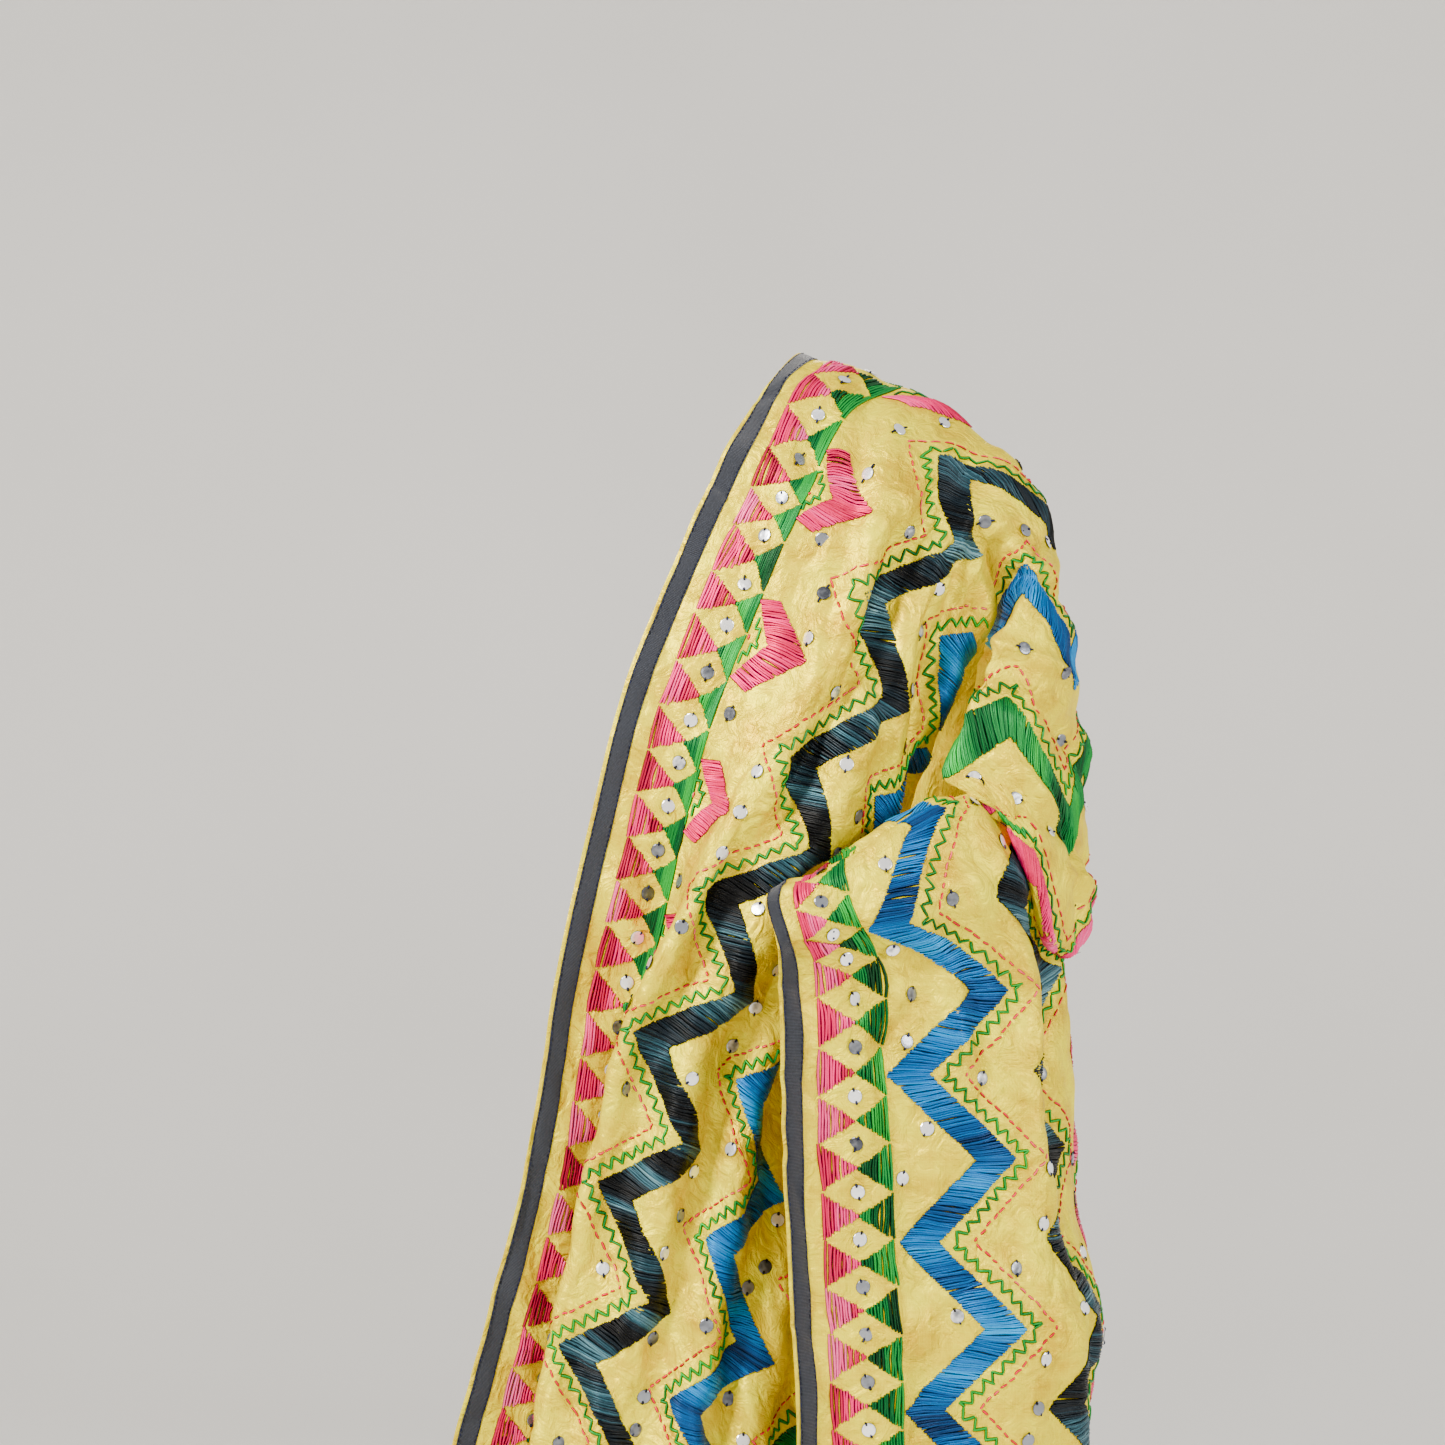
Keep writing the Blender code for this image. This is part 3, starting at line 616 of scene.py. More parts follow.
@dataclass
class Drape:
    """The whole cloth in its worn form, made a stretch at a time as rows x columns of points."""

    front_size: tuple[int, int] = (240, 180)
    yoke_size: tuple[int, int] = (90, 80)
    sleeve_size: tuple[int, int] = (130, 120)
    back_size: tuple[int, int] = (160, 140)
    drop_size: tuple[int, int] = (170, 184)
    wrap_rows: int = 36
    crumple: Crumple = Crumple()
    alone_from: float = 1.5  # places before the roll's end where the ridge starts to run on alone
    seam_reach: float = 0.3  # share of a yoke line that bends to meet the front's top
    first_reach: float = 0.2  # share of the sleeve's rows that bend to meet the yoke
    even_reach: float = 0.09  # cloth past the yoke in which the sleeve's reach turns free
    side_calm: float = 0.06  # share of the columns that is smoothed towards a shared edge
    top_calm: float = 0.05  # the same of the back's rows
    calm_reach: float = 0.05  # cloth past the yoke in which the smoothing sets in
    side_reach: Pair = (0.12, 0.30)  # where the back narrows to its side

    def front_net(self, columns: int) -> ndarray:
        """The front fall's rows in its table."""
        return np.stack([front_row(fall, columns) for fall in FRONT])

    def front(self) -> Stretch:
        """The front fall; its top leans on the yoke so that the two run smoothly together."""
        rows, columns = self.front_size
        reach = np.linspace(FRONT[0].reach, FRONT[-1].reach, rows)
        at = number_at(reach, [fall.reach for fall in FRONT])
        along = number_at(np.linspace(0, YOKE_WIDTH, columns), [arch.along for arch in YOKE])
        breast = blend([arch.breast for arch in YOKE], along)
        points = blend(self.front_net(columns), at, before=breast)
        width = blend([fall.width for fall in FRONT], at)
        across = width[:, None] * np.linspace(0, 1, columns)
        return Stretch("front_fall", points, reach[:, None], across, 1.0)

    def drop(self) -> Stretch:
        """The stretch that hangs from the forearm, from the ridge down."""
        rows, columns = self.drop_size
        line = np.linspace(0, len(FOREARM_RIDGE) - 1, columns)
        ridge, below = (blend(places, line) for places in (FOREARM_RIDGE, RIDGE_BELOW))
        inner = blend(RIDGE_INNER, np.minimum(line, len(RIDGE_INNER) - 1))
        end = len(RIDGE_INNER) - 1
        alone = ramp(line, end - self.alone_from, end)[:, None]
        before = inner * (1 - alone) + (2 * ridge - below) * alone
        net = np.stack([ridge, below] + [drop_row(drop, columns) for drop in FOREARM_FALL])
        points = blend(net, np.linspace(0, len(net) - 1, rows), before=before)
        down = -run_of(points[:, columns // 4])
        across = CLOTH_WIDTH - DROP_WIDTH * np.linspace(0, 1, columns)
        return Stretch("forearm_fall", points, down[:, None], across[None], 1.0)

    def wrap(self) -> Stretch:
        """The roll over the forearm, on the same columns as the stretch below it."""
        line = np.linspace(0, len(FOREARM_RIDGE) - 1, self.drop_size[1])
        line = line[line <= len(RIDGE_INNER) - 1]
        net = np.stack([blend(places, line) for places in
                        (FOREARM_RIDGE, RIDGE_INNER, RIDGE_BEHIND, RIDGE_DOWN)])
        points = blend(net, np.linspace(0, len(net) - 1, self.wrap_rows), before=blend(RIDGE_BELOW, line))
        down = run_of(points[:, len(line) // 2])
        across = CLOTH_WIDTH - DROP_WIDTH * line / (len(FOREARM_RIDGE) - 1)
        return Stretch("forearm_wrap", points, down[:, None], across[None], -1.0)

    def back_net(self, drop: Stretch, columns: int) -> ndarray:
        """The back fall's rows in its table, ending on the stretch off the forearm."""
        side = drop.points[::-1, -1]
        return np.stack([back_row(hang, read_line(hang.z - hang.drop, side[:, 2], side), columns)
                         for hang in BACK])

    def yoke(self, front: Stretch, behind: ndarray) -> Stretch:
        """The cloth over the shoulder, leaning on the front, the sleeve and the back.

        Args:
            front: the front fall, which it meets.
            behind: the back fall's rows.

        Returns:
            The stretch.
        """
        rows, columns = self.yoke_size
        over = np.linspace(0.0, YOKE_WIDTH, front.points.shape[1])
        ahead = self.front_net(front.points.shape[1])[1]
        hung = np.linspace(0.0, BACK_WIDTH, behind.shape[1])
        net = []
        for arch in YOKE:
            leant, joined = (read_line(arch.along, over, line) for line in (ahead, front.points[0]))
            below = read_line(arch.along, hung, behind[0])
            net.append([leant, joined, arch.breast, arch.top, arch.blade, arch.back, below])
        along = np.linspace(0.0, YOKE_WIDTH, rows)
        ring = np.array(SLEEVE[0][1:])[list(RING_AT_YOKE)]
        after = np.vstack([net[-1][0], ring, net[-1][-1]])
        net = blend(net, number_at(along, [arch.along for arch in YOKE]), after=after)
        net = net.transpose(1, 0, 2)
        points = blend(net[1:-1], np.linspace(0, len(net) - 3, columns), before=net[0], after=net[-1])
        points = points.transpose(1, 0, 2)
        seam = read_line(along, over, front.points[0])
        fade = 1.0 - ramp(np.linspace(0, 1, columns), 0.0, self.seam_reach)
        points = points + (seam - points[:, 0])[:, None] * fade[None, :, None]
        down = np.stack([self.reach_over(line, columns // 2, 1.0) for line in points])
        return Stretch("shoulder_yoke", points, down, along[:, None], 1.0, rows_down=False)

    @staticmethod
    def reach_over(line: ndarray, ridge: int, even: float) -> ndarray:
        """The cloth from the ridge at each place of a line that runs over it.

        Args:
            line: the places, from front to back.
            ridge: the number of the place on the ridge.
            even: how far the ends are made to lie at YOKE_REACH, from 0 to 1.

        Returns:
            Cloth from the ridge, below zero behind it.
        """
        run = run_of(line)
        run = run[ridge] - run
        ahead = 1 + (YOKE_REACH / run[0] - 1) * even
        behind = 1 + (YOKE_REACH / -run[-1] - 1) * even
        return np.where(run > 0, run * ahead, run * behind)

    def sleeve(self, yoke: Stretch, behind: ndarray) -> Stretch:
        """The cloth round the upper arm, from the yoke's last row to the rim at the elbow.

        Args:
            yoke: the cloth over the shoulder, which it goes on from.
            behind: the back fall's rows.

        Returns:
            The stretch.
        """
        rows, columns = self.sleeve_size
        stations = np.linspace(0, len(YOKE_PLACES) - 1, columns)
        last = len(yoke.points[0]) - 1
        at = np.interp(stations, range(len(YOKE_PLACES)), YOKE_PLACES) / YOKE_PLACES[-1] * last
        first = blend(yoke.points[-1], at)
        places = np.array(YOKE_PLACES) / YOKE_PLACES[-1] * last
        near = number_at(YOKE[-2].along, yoke.across[:, 0])
        before = blend(blend(yoke.points, np.array([near]))[0], places)
        net = np.stack([blend(yoke.points[-1], places)] + [np.array(ring[1:]) for ring in SLEEVE])
        rim = net[-1]
        inner = rim.mean(axis=0)
        turned = [rim + (inner - rim) * np.array([pull, pull, 0.0]) + np.array([0.0, 0.0, rise])
                  for pull, rise in RIM_TURN]
        net = np.concatenate([net, turned])
        alongs = np.array([YOKE_WIDTH] + [ring.along for ring in SLEEVE]
                          + [SLEEVE[-1].along + RIM_STEP * (k + 1) for k in range(len(RIM_TURN))])
        along = np.linspace(YOKE_WIDTH, alongs[-1], rows)
        grid = blend(net, number_at(along, alongs), before=before)
        hung = np.linspace(0.0, BACK_WIDTH, behind.shape[1])
        after = read_line(along, hung, behind[0])
        points = blend(grid.transpose(1, 0, 2), stations, after=after).transpose(1, 0, 2)
        fade = 1 - ramp(np.linspace(0, 1, rows), 0, self.first_reach)
        points += (first - points[0])[None] * fade[:, None, None]
        ridge = int(round(OUTER / (len(YOKE_PLACES) - 1) * (columns - 1)))
        even = 1 - ramp(along, YOKE_WIDTH, YOKE_WIDTH + self.even_reach)
        down = np.stack([self.reach_over(line, ridge, share) for line, share in zip(points, even)])
        return Stretch("arm_sleeve", points, down, along[:, None], 1.0, rows_down=False)

    def back(self, yoke: Stretch, sleeve: Stretch, behind: ndarray) -> Stretch:
        """The back fall, hung from the backs of the yoke and the sleeve.

        Args:
            yoke: the cloth over the shoulder.
            sleeve: the cloth round the upper arm.
            behind: the rows of the back fall.

        Returns:
            The stretch.
        """
        rows, columns = self.back_size
        run = np.concatenate([yoke.across[:, 0], sleeve.across[1:, 0]])
        even = np.linspace(0, BACK_WIDTH, columns)

        def line(yoke_line: ndarray, sleeve_line: ndarray) -> ndarray:
            """A line down the yoke and the sleeve, read evenly."""
            return read_line(even, run, np.vstack([yoke_line, sleeve_line[1:]]))

        top = line(yoke.points[:, -1], sleeve.points[:, -1])
        # The lines over the shoulder blade and down the rear of the arm, which the top leans on
        before = line(yoke.points[:, yoke.points.shape[1] * 3 // 4],
                      sleeve.points[:, sleeve.points.shape[1] * 5 // 6])
        net = np.concatenate([top[None], behind])
        points = blend(net, np.linspace(0, len(net) - 1, rows), before=before)
        share = run_of(points[:, columns // 3])
        down = -(YOKE_REACH + share / share[-1] * (FALL_REACH - YOKE_REACH))
        width = BACK_WIDTH + (BACK_SIDE - BACK_WIDTH) * ramp(-down, *self.side_reach)
        across = width[:, None] * np.linspace(0, 1, columns)
        return Stretch("back_fall", points, down[:, None], across, -1.0)

    def calm(self, stretch: Stretch) -> ndarray:
        """How much of the creases is left, down to none at the edges that differ in down."""
        rows, columns = stretch.down.shape
        side = ramp(np.linspace(1, 0, columns), 0.0, self.side_calm)[None]
        if stretch.name == "forearm_fall":
            return side
        if stretch.name not in ("arm_sleeve", "back_fall"):
            return np.ones((1, 1))
        outer = ramp(stretch.across, YOKE_WIDTH, YOKE_WIDTH + self.calm_reach)
        if stretch.name == "arm_sleeve":
            return 1 - outer * (1 - side)
        return side * (1 - outer * (1 - ramp(np.linspace(0, 1, rows), 0.0, self.top_calm)[:, None]))

    def creased(self, stretch: Stretch) -> Stretch:
        """Lays the listed creases and the silk's waviness on a stretch."""
        height = self.crumple.height(stretch.down, stretch.across)
        for crease in CREASES:
            height = height + crease.height(stretch.down, stretch.across)
        height = height * self.calm(stretch)
        stretch.points = stretch.points + stretch.facing * height[..., None]
        stretch.refresh()
        return stretch

    def stretches(self) -> dict[str, Stretch]:
        """Every stretch by name, creased."""
        front, drop, wrap = self.front(), self.drop(), self.wrap()
        behind = self.back_net(drop, self.back_size[1])
        yoke = self.yoke(front, behind)
        sleeve = self.sleeve(yoke, behind)
        back = self.back(yoke, sleeve, behind)
        made = (front, yoke, sleeve, back, drop, wrap)
        return {stretch.name: self.creased(stretch) for stretch in made}


def add_node(tree: NodeTree, kind: str, values: dict | None = None, **settings) -> Node:
    """Adds a node to a tree.

    Args:
        tree: the node tree.
        kind: the node's type name.
        values: what its inputs get, by name or number, as fill takes it.
        settings: its other properties.

    Returns:
        The node.
    """
    node = tree.nodes.new(kind)
    for name, value in settings.items():
        setattr(node, name, value)
    fill(tree, node, values or {})
    return node


def fill(tree: NodeTree, node: Node, values: dict) -> None:
    """Gives a node's inputs a value, an output socket or the first output of another node."""
    for name, value in values.items():
        if isinstance(value, Node):
            value = value.outputs[0]
        if isinstance(value, NodeSocket):
            tree.links.new(value, node.inputs[name])
        else:
            node.inputs[name].default_value = value


def colour(hex_colour: str) -> tuple[float, float, float, float]:
    """A hex colour as a socket takes it."""
    return (*linear(hex_colour), 1.0)


class Surface:
    """A new material with its node tree and its Principled shader."""

    def __init__(self, name: str) -> None:
        """Makes the material and clears its tree."""
        self.material = bpy.data.materials.new(name)
        self.material.use_nodes = True
        self.tree = self.material.node_tree
        self.tree.nodes.clear()
        self.shader = add_node(self.tree, "ShaderNodeBsdfPrincipled")
        add_node(self.tree, "ShaderNodeOutputMaterial", {"Surface": self.shader.outputs["BSDF"]})

    def node(self, kind: str, values: dict | None = None, **settings) -> Node:
        """Adds a shader node of the kind that ShaderNode and this name make."""
        return add_node(self.tree, "ShaderNode" + kind, values, **settings)

    def read(self, name: str) -> Node:
        """An attribute of the mesh by name."""
        return self.node("Attribute", attribute_name=name)

    def ramp(self, factor: Node, stops: Sequence[tuple[float, str]]) -> Node:
        """A colour ramp through hex stops."""
        node = self.node("ValToRGB", {"Fac": factor})
        elements = node.color_ramp.elements
        while len(elements) < len(stops):
            elements.new(0.5)
        for element, (at, tint) in zip(elements, stops):
            element.position, element.color = at, colour(tint)
        return node

    def set(self, **values) -> None:
        """Sets inputs of the shader, with underscores for spaces."""
        fill(self.tree, self.shader, {name.replace("_", " "): value for name, value in values.items()})


@dataclass(frozen=True)
class SilkGround:
    """Hand-woven mulberry silk: a soft satin shine with thicker slub threads both ways."""

    shade: str = "#D0AA00"
    middle: str = "#E8D000"
    light: str = "#F6EA00"
    gleam: str = "#FFE200"
    pressed: Pair = (0.31, 0.245)  # between the lines pressed in by folding it away
    press_half: float = 0.0011
    press_depth: float = 0.0009
    thread: float = 0.0007  # a thread and its gap, coarser than the real ones so that they show
    thread_depth: float = 0.0004
    satin: float = 0.36  # the share of light that the filaments throw back in their own colour
    slubs: tuple = ((26.0, 1100.0, 1.0), (900.0, 22.0, 1.0))  # a metre each way, of weft and warp
    clouds: float = 24.0  # paler and deeper patches a metre
    dents: float = 50.0  # soft dents a metre, too small to be shaped
    dent_depth: float = 0.0070

    def make(self) -> Material:
        """Builds the material."""
        surface = Surface("mulberry_silk")
        node = surface.node
        at = surface.read("cloth").outputs["Vector"]
        slubs = []
        for scale in self.slubs:
            drawn = node("VectorMath", {0: at, 1: scale}, operation="MULTIPLY")
            slubs.append(node("TexNoise", {"Vector": drawn, "Scale": 1.0, "Detail": 2.0}))
        both = node("Math", {0: slubs[0], 1: slubs[1]}, operation="ADD")
        clouds = node("TexNoise", {"Vector": at, "Scale": self.clouds, "Detail": 4.0, "Roughness": 0.6})
        mixed = node("Math", {0: both, 1: 0.16, 2: clouds}, operation="MULTIPLY_ADD")
        tone = node("MapRange", {"Value": mixed, "From Min": 0.46, "From Max": 0.86})
        tint = surface.ramp(tone, ((0.0, self.shade), (0.45, self.middle), (1.0, self.light)))
        rough = node("MapRange", {
            "Value": clouds, "From Min": 0.3, "From Max": 0.7, "To Min": 0.38, "To Max": 0.50})
        surface.set(Base_Color=tint, Roughness=rough, Metallic=self.satin,
                    Specular_IOR_Level=0.5, Specular_Tint=colour(self.gleam))
        weave = node("TexVoronoi", {
            "Vector": at, "Scale": 1.0 / self.thread, "Randomness": 0.35}, distance="CHEBYCHEV")
        threads = node("Math", {0: weave, 1: 0.30}, operation="MULTIPLY")
        relief = node("Math", {0: both, 1: threads}, operation="ADD")
        dents = node("TexNoise", {
            "Vector": at, "Scale": self.dents, "Detail": 4.0, "Roughness": 0.55, "Distortion": 1.4})
        dented = node("Bump", {"Height": dents, "Strength": 0.8, "Distance": self.dent_depth})
        parts = node("SeparateXYZ", {"Vector": at})
        lines = []
        for axis, apart in zip("XY", self.pressed):
            turn = node("Math", {0: parts.outputs[axis], 1: apart}, operation="PINGPONG")
            line = node("MapRange", {
                "Value": turn, "From Max": self.press_half}, interpolation_type="SMOOTHSTEP")
            lines.append(line)
        crossed = node("Math", {0: lines[0], 1: lines[1]}, operation="MULTIPLY")
        pressed = node("Bump", {
            "Height": crossed, "Strength": 0.4, "Distance": self.press_depth, "Normal": dented})
        woven = node("Bump", {
            "Height": relief, "Strength": 0.5, "Distance": self.thread_depth, "Normal": pressed})
        surface.set(Normal=woven)
        return surface.material


@dataclass(frozen=True)
class SilkFloss:
    """Untwisted silk floss: glossy along the stitch, with fine strands that catch the light; a thread's
    sides are painted darker than its crest, a painted shade where it lies against the next.
    """

    roughness: float = 0.42
    strand: float = 0.0004  # coarser than a real one, so that it shows
    strand_depth: float = 0.0003
    gloss: float = 0.35  # the share of light that the floss throws back in its own colour
    between: float = 0.42  # how dark a thread's sides are painted: painted shade where it lies against the next

    def make(self) -> Material:
        """Builds the material; each stitch carries its own dyed colour."""
        surface = Surface("silk_floss")
        node = surface.node
        tint = surface.read("tint").outputs["Color"]
        at = node("TexCoord").outputs["Object"]
        fine = node("TexNoise", {"Vector": at, "Scale": 0.5 / self.strand, "Detail": 3.0})
        value = node("MapRange", {
            "Value": fine, "From Min": 0.3, "From Max": 0.7, "To Min": 0.78, "To Max": 1.16})
        mottled = node("HueSaturation", {"Color": tint, "Value": value})
        # Painted shade: the further a point's normal turns from the way the cloth faces, down a thread's
        # side, the darker its colour
        normal = node("NewGeometry").outputs["Normal"]
        lie = surface.read("lie").outputs["Vector"]
        crest = node("VectorMath", {0: normal, 1: lie}, operation="DOT_PRODUCT").outputs["Value"]
        side = node("MapRange", {
            "Value": crest, "From Min": 0.25, "From Max": 0.85, "To Min": self.between})
        side_shaded = node("HueSaturation", {"Color": mottled, "Value": side})
        bump = node("Bump", {"Height": fine, "Strength": 0.5, "Distance": self.strand_depth})
        surface.set(Base_Color=side_shaded, Roughness=self.roughness, Metallic=self.gloss,
                    Specular_IOR_Level=0.25, Normal=bump)
        return surface.material


@dataclass(frozen=True)
class CottonTape:
    """Slate cotton tape: matt, with ribs across it; its tone follows its relief, darker in the hollows and
    paler on the raised parts.
    """

    dark: str = "#12141B"
    middle: str = "#1B1F28"
    pale: str = "#2F343F"
    rib: float = 0.0011
    rib_depth: float = 0.0005
    ribs: float = 3.2  # how many of them the wave pattern puts in a metre at scale 1
    fuzz: float = 420.0  # spots a metre, raised in the bump and paler in tone

    def make(self) -> Material:
        """Builds the material."""
        surface = Surface("cotton_tape")
        node = surface.node
        at = surface.read("cloth").outputs["Vector"]
        fuzz = node("TexNoise", {"Vector": at, "Scale": self.fuzz, "Detail": 4.0})
        ribs = node("TexWave", {
            "Vector": at, "Scale": 1.0 / self.rib / self.ribs, "Distortion": 0.6}, bands_direction="X")
        total = node("Math", {0: fuzz, 1: ribs.outputs["Fac"]}, operation="ADD")
        # The tone follows the same relief as the bump: darker in the hollows, paler on the raised parts
        tone = node("MapRange", {"Value": total, "From Min": 0.4, "From Max": 1.6})
        tint = surface.ramp(tone, ((0.0, self.dark), (0.5, self.middle), (1.0, self.pale)))
        bump = node("Bump", {"Height": total, "Strength": 0.6, "Distance": self.rib_depth})
        surface.set(Base_Color=tint, Roughness=0.88, Sheen_Weight=0.3, Specular_IOR_Level=0.3,
                    Normal=bump)
        return surface.material


@dataclass(frozen=True)
class MirrorGlass:
    """Hand-cut silvered glass under a little tarnish: bright, but each disc's face is painted a grey of
    its own, a painted reflection, and its rim is painted dark, a painted shadow.
    """

    # Greys for the face, from dark to white: a painted reflection that each disc picks by its own tone
    dark: str = "#4A4D55"
    dull: str = "#8C9098"
    bright: str = "#FFFFFF"
    # The rim's colour: a painted shadow, a dark ring on the bevel where the glass meets the cloth
    rim: str = "#14161E"
    specks: float = 190.0  # spots of tarnish a metre
    waviness: float = 0.0012

    def make(self) -> Material:
        """Builds the material."""
        surface = Surface("silvered_glass")
        node = surface.node
        # Each disc's own tone sets how pale its face is painted, a painted reflection, with tarnish specks
        # on top
        own = surface.read("tone").outputs["Fac"]
        at = node("TexCoord").outputs["Object"]
        specks = node("TexNoise", {"Vector": at, "Scale": self.specks, "Detail": 1.0})
        both = node("Math", {0: specks, 1: 0.35, 2: own}, operation="MULTIPLY_ADD")
        stops = (0.20, self.dark), (0.38, self.dull), (0.62, self.dull), (0.74, self.bright)
        face = surface.ramp(both, stops)
        # Painted shadow: the outer ring of each disc is darkened towards the rim colour
        rim = surface.read("rim").outputs["Fac"]
        rim_shadowed = node("MixRGB", {"Fac": rim, "Color1": face, "Color2": colour(self.rim)})
        bump = node("Bump", {"Height": specks, "Strength": 0.25, "Distance": self.waviness})
        surface.set(Base_Color=rim_shadowed, Metallic=0.7, Roughness=0.28, Normal=bump)
        return surface.material


@dataclass(frozen=True)
class StudioPaper:
    """Seamless backdrop paper: pale, matt and almost even."""

    low: str = "#F4F2EE"
    high: str = "#FCFAF7"

    def make(self) -> Material:
        """Builds the material."""
        surface = Surface("backdrop_paper")
        node = surface.node
        at = node("TexCoord").outputs["Object"]
        cloud = node("TexNoise", {"Vector": at, "Scale": 0.8, "Detail": 2.0})
        surface.set(Base_Color=surface.ramp(cloud, ((0.3, self.low), (0.7, self.high))), Roughness=0.9)
        return surface.material


def graded(tones: Sequence[str], at: ndarray) -> ndarray:
    """Reads hex colours as one gradient from 0 to 1, in linear light."""
    stops = np.array([linear(tone) for tone in tones])
    where = np.clip(at, 0.0, 1.0) * (len(stops) - 1)
    return read_line(where, np.arange(len(stops)), stops)


@dataclass(frozen=True)
class Floss:
    """Space-dyed floss: its tones from light to dark and how long a run of them is."""

    tones: tuple[str, ...]
    run: float = 0.042
    uneven: float = 0.06

    def along(self, distance: ndarray, chance: Generator) -> ndarray:
        """The colour of each stitch of a line, given the distance along it."""
        count = int((distance.max() - distance.min()) / self.run) + 4
        knots = distance.min() - self.run + np.cumsum(chance.uniform(0.4, 1.6, count) * self.run)
        tone = chance.uniform(0.0, 0.42, count)
        tone[1::2] = chance.uniform(0.58, 1.0, len(tone[1::2]))
        return graded(self.tones, np.interp(distance, knots, tone)
                      + chance.normal(0.0, self.uneven, distance.shape))


class Shade(Enum):
    """The flosses of the embroidery, light to dark."""

    PINK = Floss(("#FF62A0", "#FF1878", "#DE0054", "#A60034"), uneven=0.09)
    SLATE = Floss(("#6F9BA4", "#2C5663", "#0C1B24", "#030507", "#020203"), uneven=0.09)
    BLUE = Floss(("#009CE0", "#0074BC", "#004E8E", "#00244E"), uneven=0.09)
    GREEN = Floss(("#14A432", "#008836", "#00602A", "#003418"), uneven=0.09)
    LEAF = Floss(("#1FB02E", "#028A30", "#005A24"), run=0.09)
    ROSE = Floss(("#FF7070", "#EE1F3C", "#C00020"), run=0.05)
    STRAW = Floss(("#D8A800", "#9C7000"))
    SOOT = Floss(("#16204A", "#080A16"), run=0.08)


@dataclass
class Stitches:
    """Stitches on the flat cloth, each a short path of the same number of points."""

    places: ndarray  # stitches x points x 2: down and across
    tints: ndarray  # stitches x 3

    def kept(self, keep: ndarray) -> "Stitches":
        """Those stitches that a mask picks."""
        return Stitches(self.places[keep], self.tints[keep])

    @staticmethod
    def joined(parts: Sequence["Stitches"]) -> "Stitches":
        """Several sets as one."""
        return Stitches(np.concatenate([part.places for part in parts]),
                        np.concatenate([part.tints for part in parts]))


POINTS = 5  # in each stitch


def spread(start: ndarray, end: ndarray, bow: ndarray) -> ndarray:
    """Points along stitches.

    Args:
        start: where each begins, down and across.
        end: where each ends.
        bow: how far each bows sideways.

    Returns:
        Stitches x points x 2.
    """
    share = np.linspace(0.0, 1.0, POINTS)[None, :, None]
    ahead = end - start
    aside = np.stack([-ahead[:, 1], ahead[:, 0]], -1)
    aside /= np.maximum(norm(aside, axis=1, keepdims=True), 1e-9)
    rise = np.sin(pi * share) * bow[:, None, None]
    return start[:, None] + ahead[:, None] * share + aside[:, None] * rise


def straight(start: ndarray, end: ndarray, shade: Shade, chance: Generator) -> Stitches:
    """Straight stitches from start to end, each in a tone of its own."""
    tints = graded(shade.value.tones, chance.uniform(0, 1, len(start)))
    return Stitches(spread(start, end, np.zeros(len(start))), tints)


class Line(NamedTuple):
    """A line of single stitches beside a band."""

    aside: float  # how far across it runs from the band
    step: float  # a stitch's length along the line
    skip: float  # the gap after it
    wave: float  # how far the stitches step to and fro across the line


GREEN_LINE = Line(-0.029, 0.0060, 0.0, 0.0078)
ROSE_LINE = Line(-0.045, 0.0056, 0.0026, 0.0)


